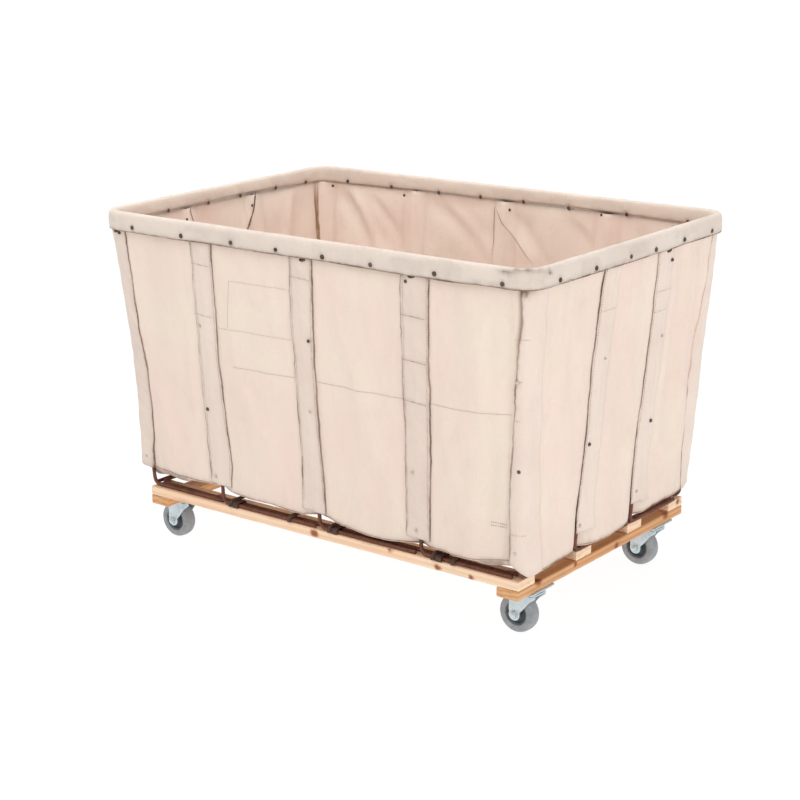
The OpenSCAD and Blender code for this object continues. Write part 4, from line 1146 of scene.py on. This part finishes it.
def worn(S_fn, z0, z1, radius, seed, dark, mat=0):
    """A thicker, darker stretch of a strap's edge."""
    z = np.linspace(z0, z1, 60)
    p = rod_like(S_fn(z), z, .0021)
    rr = radius * (.8 + .35 * noise2(z * 70, 0 * z, seed)) * np.clip(np.minimum(np.linspace(0, 6, 60), np.linspace(6, 0, 60)), .2, 1)
    cc, ff = tube(p, rr, 6)
    cord.add(cc, ff, mat, fab=np.repeat(np.stack([z * 3, z, 0 * z], 1), 6, 0), dirt=np.repeat(np.clip(dark + .3 * noise2(z * 60, 0 * z, seed + 1), 0, 1), 6))


s2_right = edge_fn(0, [(.80, .034), (.66, .022), (.55, .019), (.40, .015), (.20, .020)])
r1_left = edge_fn(1, [(.80, -.116), (.62, -.132), (.45, -.137), (.20, -.149)])
worn(s2_right, .794, .725, .0017, 830, .75, 1)
worn(s2_right, .262, .203, .0015, 833, .7)
worn(fl_front, .570, .445, .0014, 836, .8)
worn(fl_front, .790, .755, .0014, 839, .6)
worn(r1_left, .794, .715, .0015, 842, .75)
# one mesh of dark cords: frayed and worn edges, hem, seams, and lines of painted shade along strap edges and in creases
cord_ob = cord.build("worn_edges_and_shade_lines", [MAT_CORD, MAT_SEAM])
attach(cord_ob, "cart")

# ------------------------------------------------------------------ spring steel frame
RAD = .0045


def ground(p):
    return np.asarray(p, float)


def upright(Sfn, foot_dir, foot_len, z_foot=.1588, z_hi=.800, wob=0):
    """A rod that stands in its pocket and bends to a foot on the base."""
    z = np.linspace(z_hi, .205, 40)
    leg = rod_point(Sfn(z), z)
    zf = z_foot
    b = rod_point(Sfn(np.array(.175)), np.array(.175))
    fx, fy = foot_dir
    root = np.array([b[0], b[1], zf])
    pts = [leg[-1], np.array([b[0], b[1], .181]), ]
    end = root + np.array([fx, fy, 0]) * foot_len
    curve = round_corner([leg[-1], root, end], .020, 8)
    n = max(6, int(foot_len / .012))
    foot = [curve[-2] + (end - curve[-2]) * t for t in np.linspace(0, 1, n)[1:]]
    path = np.vstack([leg, curve[1:-1], foot])
    return path


frame_nodes = []


def rods(name, paths, nodes, mat=MAT_RUST, radius=RAD):
    s = Soup()
    for i, p in enumerate(paths):
        q = np.asarray(p, float)
        rr = radius * (1 + .04 * noise2(np.arange(len(q)) * .7, 0 * np.arange(len(q)) + i, 500 + i))
        cc, ff = tube(q, rr, 12)
        s.add(cc, ff, 0)
    ob = s.build(name, [mat])
    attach(ob, "cart")
    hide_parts(*nodes)
    return ob


rods("uprights_front_v", [upright(wall_rod(0, FRONT[i]), (1, 0), L_) for i, L_ in enumerate((.285, .272, .240))], ["uprights_front"])
rods("uprights_right_v", [upright(wall_rod(1, RIGHT[i]), (0, 1), L_) for i, L_ in enumerate((.218, .200))], ["uprights_right"])
rods("uprights_back_v", [upright(wall_rod(2, BACK[i]), (-1, 0), L_) for i, L_ in enumerate((.280, .285, .230))], ["uprights_back"])
rods("uprights_left_v", [upright(wall_rod(3, LEFT[i]), (0, -1), L_) for i, L_ in enumerate((.222, .205))], ["uprights_left"])
rods("upright_corner_fl_v", [upright(cor(3), (1, 0), .225)], ["upright_corner_fl"])
rods("upright_corner_fr_v", [upright(cor(0), (0, 1), .195)], ["upright_corner_fr"])
rods("upright_corner_br_v", [upright(cor(1), (-1, 0), .235)], ["upright_corner_br"])
rods("upright_corner_bl_v", [upright(cor(2), (0, -1), .205)], ["upright_corner_bl"])

# base ring, a little bent by use
rx_, ry_, rq = .5305, .322, .026
ringp = []
for a0, cx_, cy_ in ((-90, rx_ - rq, -ry_ + rq), (0, rx_ - rq, ry_ - rq), (90, -rx_ + rq, ry_ - rq), (180, -rx_ + rq, -ry_ + rq)):
    for t in np.linspace(0, 90, 7):
        a_ = math.radians(a0 + t)
        ringp.append((cx_ + rq * math.cos(a_), cy_ + rq * math.sin(a_), .1587))
ringp.append(ringp[0])
ringp = np.array(ringp)
s_ = np.concatenate([[0], np.cumsum(np.linalg.norm(np.diff(ringp, axis=0), axis=1))])
k = np.linspace(0, s_[-1], 260)
rp = np.stack([np.interp(k, s_, ringp[:, j]) for j in range(3)], 1)
lift = np.clip(.0020 * noise2(k * 3, 0 * k, 601), 0, 1)
rp[:, 2] += lift
rp[-1] = rp[0]
rods("base_ring_v", [rp], ["base_ring"])
# five rods across, hooked over the feet
cross = []
for x0 in (-.276, -.093, .026, .318, .372):
    zt, hk = .1677, .0092
    pts = []
    for a_ in np.linspace(-12, 90, 9):
        r_ = math.radians(a_)
        pts.append((x0, -.33915 - hk * math.cos(r_) * 1.0, .1588 + hk * math.sin(r_)))
    left = np.array(pts)
    right = left[::-1] * np.array([1, -1, 1])
    yy = np.linspace(-.325, .325, 40)
    body = np.stack([x0 + .0015 * noise2(yy * 6, 0 * yy + x0 * 10, 611), yy, zt + .0008 * np.abs(noise2(yy * 8, 0 * yy, 612))], 1)
    cross.append(np.vstack([left, body, right]))
rods("transverse_rods_v", cross, ["transverse_rods"], MAT_RUST_DK)

# bands over the doubled rods
cl = Soup()
for side in (-1, 1):
    for x0, w_ in ((-.262, .016), (.040, .016), (.332, .016)):
        face, back_, top = .3453, .3171, .1640
        pts = [(-face + .0001, .1542), (-face - .0004, .1570), (-face - .0004, .1610), (-face + .0006, .1645), (-face + .0040, .1652), (-.3285, .1648), (-.3200, .1652), (-.3163, .1640), (-.3152, .1560)]
        th = .0017
        outer = np.array(pts)
        tn = np.gradient(outer, axis=0)
        tn /= np.linalg.norm(tn, axis=1)[:, None]
        nn = np.stack([-tn[:, 1], tn[:, 0]], 1)
        inner = outer - nn * th * (-1)
        ring_ = np.vstack([outer, inner[::-1]])
        m_ = len(ring_)
        c3 = []
        for j, xx in enumerate((x0 - w_ / 2, x0 - w_ / 2 + .001, x0 + w_ / 2 - .001, x0 + w_ / 2)):
            f_ = 1 if j in (1, 2) else .97
            for yv, zv in ring_:
                c3.append((xx + .0006 * math.sin(zv * 900), -side * yv * -1 if side < 0 else -yv, zv * 1.0))
        c3 = np.array(c3)
        if side < 0:
            c3[:, 1] = -np.abs(c3[:, 1])
        else:
            c3[:, 1] = np.abs(c3[:, 1])
        ff = grid_faces(4, m_, wrap_cols=True) + [list(range(m_))[::-1], [3 * m_ + i for i in range(m_)]]
        cl.add(c3, ff, 0)
clips = cl.build("rod_clips_v", [MAT_RUST_DK])
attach(clips, "cart")
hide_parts("rod_clips")

# flat rail inside the rim
kr = np.arange(320) / 320
x_, y_, a_, b_, _ = rim_plan(kr)
rail_co = np.concatenate([np.stack([x_ + a_ * n_, y_ + b_ * n_, 0 * kr + z_], 1) for n_, z_ in ((-.0028, .7992), (-.0028, .8300), (-.0034, .8308), (-.0056, .8308), (-.0062, .8300), (-.0062, .7992))])
rail = add_mesh("rim_rail_v", rail_co, grid_faces(6, 320, wrap_rows=True, wrap_cols=True, flip=True), [MAT_RUST_DK])
fix_normals(rail)
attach(rail, "cart")
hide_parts("rim_rail")

# ------------------------------------------------------------------ wooden base


def board(name, node, x0, x1, y0, y1, z0, z1, mat, knots=(), seed=0, along="x"):
    """A planed board with eased, slightly dented edges; along is its long direction."""
    if along == "x":
        l0, l1, a0, a1 = x0, x1, y0, y1
    else:
        l0, l1, a0, a1 = y0, y1, x0, x1
    r = .0022
    w, h = a1 - a0, z1 - z0
    sec = []
    nW, nH = 9, 4
    def side(p0, p1, n):
        return [(p0[0] + (p1[0] - p0[0]) * t, p0[1] + (p1[1] - p0[1]) * t) for t in np.linspace(0, 1, n)]
    for (cx_, cy_, a_), (p0, p1, n) in zip(
            ((a1 - r, z0 + r, -90), (a1 - r, z1 - r, 0), (a0 + r, z1 - r, 90), (a0 + r, z0 + r, 180)),
            (((a1, z0 + r), (a1, z1 - r), nH), ((a1 - r, z1), (a0 + r, z1), nW), ((a0, z1 - r), (a0, z0 + r), nH), ((a0 + r, z0), (a1 - r, z0), nW))):
        for t in (0, 45):
            q = math.radians(a_ + t)
            sec.append((cx_ + r * math.cos(q), cy_ + r * math.sin(q)))
        sec += side(p0, p1, n)[0:-1]
    sec = np.array(sec)
    n = int((l1 - l0) / .010)
    ls = np.linspace(l0 + .0012, l1 - .0012, n)
    rings = []
    mid_ = np.array([(a0 + a1) / 2, (z0 + z1) / 2])
    for i, l in enumerate(ls):
        s2 = sec.copy()
        d = s2 - mid_
        dent = .0007 * noise2(np.full(len(sec), l * 60) + 0 * d[:, 0], np.arctan2(d[:, 1], d[:, 0]) * 3, 700 + seed)
        corner = np.minimum(np.abs(np.abs(d[:, 0]) - w / 2), 1) + np.minimum(np.abs(np.abs(d[:, 1]) - h / 2), 1) < .003
        chip = np.where(corner, -.0012 * np.clip(noise2(np.full(len(sec), l * 34.0), np.round(np.arctan2(d[:, 1], d[:, 0])) * 5, 720 + seed) - .25, 0, 1), 0)
        unit = d / (np.linalg.norm(d, axis=1)[:, None] + 1e-9)
        s2 = s2 + unit * (chip + np.minimum(dent, 0) * .6)[:, None]
        rings.append((l, s2))
    end = .0012
    sh = lambda s2, f: mid_ + (s2 - mid_) * np.array([1 - f / w * 2, 1 - f / h * 2])
    rings = [(l0, sh(rings[0][1], .0012))] + rings + [(l1, sh(rings[-1][1], .0012))]
    co_, gr = [], []
    for l, s2 in rings:
        for a_, z_ in s2:
            co_.append((l, a_, z_) if along == "x" else (a_, l, z_))
            gr.append((l, a_, z_))
    m_ = len(sec)
    ff = grid_faces(len(rings), m_, wrap_cols=True)
    # end grain: fans of rings towards the middle
    base_n = len(co_)
    for idx, (l, s2) in ((0, rings[0]), (len(rings) - 1, rings[-1])):
        prev = [idx * m_ + i for i in range(m_)]
        for f in (.35, .7):
            cur = []
            for a_, z_ in mid_ + (s2 - mid_) * (1 - f):
                co_.append((l, a_, z_) if along == "x" else (a_, l, z_))
                gr.append((l, a_, z_))
                cur.append(len(co_) - 1)
            for i in range(m_):
                q = [prev[i], prev[(i + 1) % m_], cur[(i + 1) % m_], cur[i]]
                ff.append(q if idx else q[::-1])
            prev = cur
        ff.append(prev if idx else prev[::-1])
    co_, gr = np.array(co_), np.array(gr)
    kn = np.zeros(len(co_))
    for kx, ka, kz, kr in knots:
        dd = np.sqrt(((gr[:, 0] - kx) * .8) ** 2 + (gr[:, 1] - ka) ** 2 + (gr[:, 2] - kz) ** 2)
        kn = np.maximum(kn, gauss(dd, kr))
    ob = add_mesh(name, co_, ff, [mat], {"grain": gr, "knot": kn})
    fix_normals(ob)
    for p in ob.data.polygons:
        pass
    ob.data.polygons.foreach_set("use_smooth", np.zeros(len(ob.data.polygons), bool))
    md = ob.modifiers.new("edge", "WEIGHTED_NORMAL")
    ob.data.polygons.foreach_set("use_smooth", np.ones(len(ob.data.polygons), bool))
    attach(ob, "cart")
    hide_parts(node)
    return ob


board("front_rail_v", "front_rail", -.540, .540, -.345, -.281, .1322, .154, WOOD[0], [(-.02, -.345, .143, .009), (.33, -.345, .140, .007), (.20, -.345, .150, .005), (-.35, -.30, .154, .010), (.42, -.345, .137, .006)], 1)
board("back_rail_v", "back_rail", -.540, .540, .281, .345, .1322, .154, WOOD[1], [(.1, .30, .154, .010), (.5385, .325, .146, .008), (-.3, .345, .143, .009)], 2)
board("inner_board_front_v", "inner_board_front", -.540, .540, -.119, -.057, .1322, .154, WOOD[2], [(.2, -.09, .154, .012), (-.4, -.07, .154, .010)], 3)
board("inner_board_back_v", "inner_board_back", -.540, .540, .096, .158, .1322, .154, WOOD[3], [(.45, .12, .154, .010), (-.15, .14, .154, .012)], 4)
board("cross_board_left_v", "cross_board_left", -.540, -.484, -.345, .345, .110, .1318, WOOD[4], [(-.2, -.53, .131, .01), (.1, -.51, .131, .012)], 5, "y")
board("cross_board_right_v", "cross_board_right", .484, .540, -.345, .345, .110, .1318, WOOD[5], [(-.265, .535, .131, .011), (.05, .54, .118, .008), (.27, .54, .128, .010), (-.12, .54, .126, .006)], 6, "y")
# screws: dark heads sunk in the boards
sc_ = Soup()
for a_ in (-1, 1):
    for x0 in (.492, .514):
        for y0 in (-.305, -.088, .127, .305):
            cc, ff = lathe([(.0001, -.030), (.0019, -.030), (.0020, .0000), (.0038, .0004), (.0042, .0010), (.0034, .0014), (.0012, .0012), (.0001, .0007)], 12, (a_ * x0, y0, .154), (0, 0, 1))
            sc_.add(cc, ff, 0)
screws = sc_.build("deck_screws_v", [MAT_RIVET])
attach(screws, "cart")
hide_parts("deck_screws")

# ------------------------------------------------------------------ casters
CR = {"fl": (-1, -1), "fr": (1, -1), "bl": (-1, 1), "br": (1, 1)}


def rounded_plate(outline, y0, y1, r=.0009):
    """A pressed plate: the outline (x, z) swept from y0 to y1 with eased edges."""
    o = np.asarray(outline, float)
    c = o.mean(0)
    t_ = np.roll(o, -1, 0) - np.roll(o, 1, 0)
    t_ /= np.linalg.norm(t_, axis=1)[:, None]
    nrm = np.stack([t_[:, 1], -t_[:, 0]], 1)
    if np.mean(np.einsum("ij,ij->i", nrm, o - c)) < 0:
        nrm = -nrm
    rows_ = []
    for yy, ins in ((y0, r), (y0 + r * .3, r * .3), (y0 + r, 0), (y1 - r, 0), (y1 - r * .3, r * .3), (y1, r)):
        q = o - nrm * ins
        rows_.append(np.stack([q[:, 0], np.full(len(o), yy), q[:, 1]], 1))
    m_ = len(o)
    ff = grid_faces(len(rows_), m_, wrap_cols=True)
    ff += [list(range(m_))[::-1], [(len(rows_) - 1) * m_ + i for i in range(m_)]]
    return np.concatenate(rows_), ff


for key, (sx_, sy_) in CR.items():
    cxx, cyy = sx_ * .512, sy_ * .253
    T = np.array([cxx, cyy, 0.0])
    ax_c = np.array([cxx - .030, cyy, .04445])
    # tyre with a rounded tread and a small lip
    pr = []
    for a_, h_ in [(.0270, -.0146), (.0282, -.0156), (.0300, -.0160), (.0360, -.0161), (.0392, -.0156), (.0415, -.0140), (.0432, -.0112), (.0441, -.0070), (.04445, -.0020),
                   (.04445, .0020), (.0441, .0070), (.0432, .0112), (.0415, .0140), (.0392, .0156), (.0360, .0161), (.0300, .0160), (.0282, .0156), (.0270, .0146)]:
        pr.append((a_, h_))
    cc, ff = lathe(pr, 72, ax_c, (0, 1, 0))
    ff = ff[:-2]
    nn_ = len(pr)
    ff += [[(nn_ - 1) * 72 + (i + 1) % 72, (nn_ - 1) * 72 + i, i, (i + 1) % 72][::-1] for i in range(72)]
    ty = add_mesh("tyre_%s_v" % key, cc, ff, [MAT_TYRE])
    fix_normals(ty)
    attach(ty, "wheel_" + key)
    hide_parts("tyre_" + key)
    # core: hub, dished web and rim
    pr = [(.0048, -.0186), (.0112, -.0186), (.0120, -.0176), (.0121, -.0066), (.0128, -.0056), (.0205, -.0052), (.0222, -.0072), (.0230, -.0126), (.0240, -.0138), (.0268, -.0139), (.0271, -.0132),
          (.0271, .0132), (.0268, .0139), (.0240, .0138), (.0230, .0126), (.0222, .0072), (.0205, .0052), (.0128, .0056), (.0121, .0066), (.0120, .0176), (.0112, .0186), (.0048, .0186)]
    cc, ff = lathe(pr, 56, ax_c, (0, 1, 0))
    ff = ff[:-2]
    nn_ = len(pr)
    ff += [[(nn_ - 1) * 56 + (i + 1) % 56, (nn_ - 1) * 56 + i, i, (i + 1) % 56][::-1] for i in range(56)]
    cr_ = add_mesh("core_%s_v" % key, cc, ff, [MAT_CORE])
    fix_normals(cr_)
    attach(cr_, "wheel_" + key)
    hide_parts("core_" + key)
    # fork: two pressed legs and a crown
    leg = []
    for a_ in np.linspace(-200, 20, 23):
        q = math.radians(a_)
        leg.append((-.030 + .0140 * math.cos(q), .04445 + .0140 * math.sin(q)))
    leg += [(-.0150, .0520), (-.0080, .0590), (.0000, .0690), (.0070, .0780), (.0110, .0815), (.0180, .0865), (.0225, .0900), (.0240, .0925), (.0240, .0985), (.0225, .0990),
            (-.0340, .0990), (-.0375, .0985), (-.0400, .0950), (-.0425, .0850), (-.0435, .0700), (-.0438, .0560)]
    yo = Soup()
    for b_ in (-1, 1):
        cc, ff = rounded_plate(leg, *( (.0190, .0220) if b_ > 0 else (-.0220, -.0190)))
        yo.add(cc + T, ff, 0)
        # embossed ring round the axle
        cc, ff = lathe([(.0075, -.0004), (.0098, -.0002), (.0106, .0006), (.0098, .0012), (.0080, .0012), (.0072, .0004)], 24, (cxx - .030, cyy + b_ * .0219, .04445), (0, b_, 0))
        yo.add(cc, ff, 0)
    crown = []
    for a_, b_ in ((-.0340, -.0200), (-.0360, -.0170), (-.0360, .0170), (-.0340, .0200), (.0220, .0200), (.0240, .0170), (.0240, -.0170), (.0220, -.0200)):
        crown.append((a_, b_))
    cc, ff = rounded_plate([(a_, b_) for a_, b_ in crown], .0960, .0990, .0008)
    cc = cc[:, [0, 2, 1]]
    yo.add(cc + T, [f[::-1] for f in ff], 0)
    yk = yo.build("yoke_%s_v" % key, [MAT_ZINC])
    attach(yk, "swivel_" + key)
    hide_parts("yoke_" + key)
    # races and king pin
    cc, ff = lathe([(.0121, .0991), (.0200, .0991), (.0222, .0998), (.0246, .1012), (.0256, .1024), (.0252, .1028), (.0121, .1028)], 40, T, (0, 0, 1))
    rc_ = add_mesh("race_%s_v" % key, cc, ff, [MAT_ZINC_DK])
    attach(rc_, "swivel_" + key)
    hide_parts("race_" + key)
    ps = Soup()
    pl = []
    for cx_, cy_, a0 in ((.026, .040, 0), (-.026, .040, 90), (-.026, -.040, 180), (.026, -.040, 270)):
        for t in np.linspace(0, 90, 6):
            q = math.radians(a0 + t)
            pl.append((cx_ + .006 * math.cos(q), cy_ + .006 * math.sin(q)))
    cc, ff = rounded_plate(pl, .1070, .1098, .0006)
    cc = cc[:, [0, 2, 1]]
    ps.add(cc + T, [f[::-1] for f in ff], 0)
    cc, ff = lathe([(.0001, .1032), (.0235, .1032), (.0262, .1044), (.0284, .1058), (.0284, .1071), (.0001, .1071)], 40, T, (0, 0, 1))
    ps.add(cc, ff, 0)
    for i in range(18):
        q = 2 * PI * i / 18
        cc, ff = lathe([(.0001, -.0022), (.0012, -.0018), (.0021, -.0007), (.0021, .0007), (.0012, .0018), (.0001, .0022)], 8, T + np.array([.0225 * math.cos(q), .0225 * math.sin(q), .1032]), (0, 0, 1))
        ps.add(cc, ff, 1)
    cc, ff = lathe([(.0001, .0895), (.0078, .0895), (.0088, .0903), (.0090, .0925), (.0090, .0955), (.0060, .0958), (.0060, .1060), (.0001, .1060)], 24, T, (0, 0, 1))
    ps.add(cc, ff, 1)
    pt = ps.build("caster_plate_%s_v" % key, [MAT_ZINC, MAT_ZINC_DK])
    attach(pt, "cart")
    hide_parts("caster_plate_" + key)
    # axle bolt: domed hex head, nut and thread end
    as_ = Soup()
    for prof, c_, d_, n_ in (([(.0047, -.0005), (.0060, -.0005), (.0064, .0006), (.0064, .0034), (.0052, .0046), (.0001, .0050)], .0220, 1, 6),
                             ([(.0047, -.0005), (.0078, -.0005), (.0080, .0006), (.0080, .0060), (.0070, .0068), (.0047, .0070)], .0220, -1, 6),
                             ([(.0001, -.0440), (.0047, -.0440), (.0047, .0090), (.0038, .0100), (.0001, .0102)], .0220, -1, 16)):
        if n_ == 16:
            cc, ff = lathe([(.0001, -.0440), (.0047, -.0440), (.0047, .0084), (.0038, .0096), (.0001, .0097)], 16, ax_c + (0, -.0220, 0), (0, -1, 0))
        else:
            cc, ff = lathe(prof, n_, ax_c + (0, d_ * c_, 0), (0, d_, 0))
        as_.add(cc, ff, 0)
    ax_ = as_.build("axle_%s_v" % key, [MAT_ZINC], smooth=False)
    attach(ax_, "swivel_" + key)
    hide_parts("axle_" + key)
ls_ = Soup()
for key, (sx_, sy_) in CR.items():
    for a_ in (-1, 1):
        for b_ in (-1, 1):
            cc, ff = lathe([(.0001, -.0042), (.0052, -.0042), (.0060, -.0034), (.0060, -.0003), (.0030, -.0002), (.0030, .0180), (.0001, .0190)], 6, (sx_ * .512 + a_ * .022, sy_ * .253 + b_ * .036, .107), (0, 0, 1))
            ls_.add(cc, ff, 0)
lag = ls_.build("caster_screws_v", [MAT_ZINC_DK], smooth=False)
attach(lag, "cart")
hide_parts("caster_screws")

# ------------------------------------------------------------------ stage, light, camera
k = M("stage_white")
co_ = k.node("TexCoord").outputs["Object"]
col = k.mix(k.remap(k.noise(co_, 0.4, 2.0), .4, .6, 0, 1), (.10, .10, .10), (.13, .13, .13))
stage_mat = k.done(col, 0.95, spec=0.1)
k.put(k.b.inputs["Emission Color"], (1.0, 1.0, 1.0, 1.0))
k.b.inputs["Emission Strength"].default_value = 0.93
floor = add_mesh("stage_floor", [(-80, -80, 0), (80, -80, 0), (80, 80, 0), (-80, 80, 0)], [[0, 1, 2, 3]], [stage_mat], smooth=False)

world = bpy.data.worlds.new("studio")
bpy.context.scene.world = world
world.use_nodes = True
bg = world.node_tree.nodes["Background"]
bg.inputs[0].default_value = (1, 1, 1, 1)
wk = world.node_tree
lp = wk.nodes.new("ShaderNodeLightPath")
mx = wk.nodes.new("ShaderNodeMapRange")
mx.inputs["To Min"].default_value = 0.68
mx.inputs["To Max"].default_value = 1.0
wk.links.new(lp.outputs["Is Camera Ray"], mx.inputs["Value"])
wk.links.new(mx.outputs["Result"], bg.inputs[1])


def area(name, loc, target, size, power):
    d = bpy.data.lights.new(name, "AREA")
    d.shape = "DISK"
    d.size = size
    d.energy = power
    o = bpy.data.objects.new(name, d)
    bpy.context.scene.collection.objects.link(o)
    o.location = loc
    o.rotation_euler = (Vector(target) - Vector(loc)).to_track_quat("-Z", "Y").to_euler()
    return o


area("key", (4.2, -0.9, 1.25), (0, 0, .5), 1.6, 29)
area("top", (-0.35, 0.2, 3.0), (0, 0, .2), 2.4, 33)
area("front", (0.0, -2.3, 3.2), (0, .1, .5), 2.5, 26)

cam_data = bpy.data.cameras.new("cam")
cam_data.sensor_width = 36.0
cam_data.lens = 84.142
cam_data.clip_end = 300
cam = bpy.data.objects.new("cam", cam_data)
bpy.context.scene.collection.objects.link(cam)
az, el, ro = math.radians(37.9411), math.radians(16.0124), math.radians(-0.6147)
back = Vector((math.sin(az) * math.cos(el), -math.cos(az) * math.cos(el), math.sin(el)))
right = (-back).cross(Vector((0, 0, 1))).normalized()
up = right.cross(-back)
r2 = right * math.cos(ro) + up * math.sin(ro)
u2 = -right * math.sin(ro) + up * math.cos(ro)
m4 = Matrix.Identity(4)
for i in range(3):
    m4[i][0], m4[i][1], m4[i][2] = r2[i], u2[i], back[i]
m4[0][3], m4[1][3], m4[2][3] = 2.59931536, -3.38221837, 1.6060176
cam.matrix_world = m4
bpy.context.scene.camera = cam
vs = bpy.context.scene.view_settings
vs.view_transform = "Standard"
vs.look = "None"
vs.exposure = 0.0
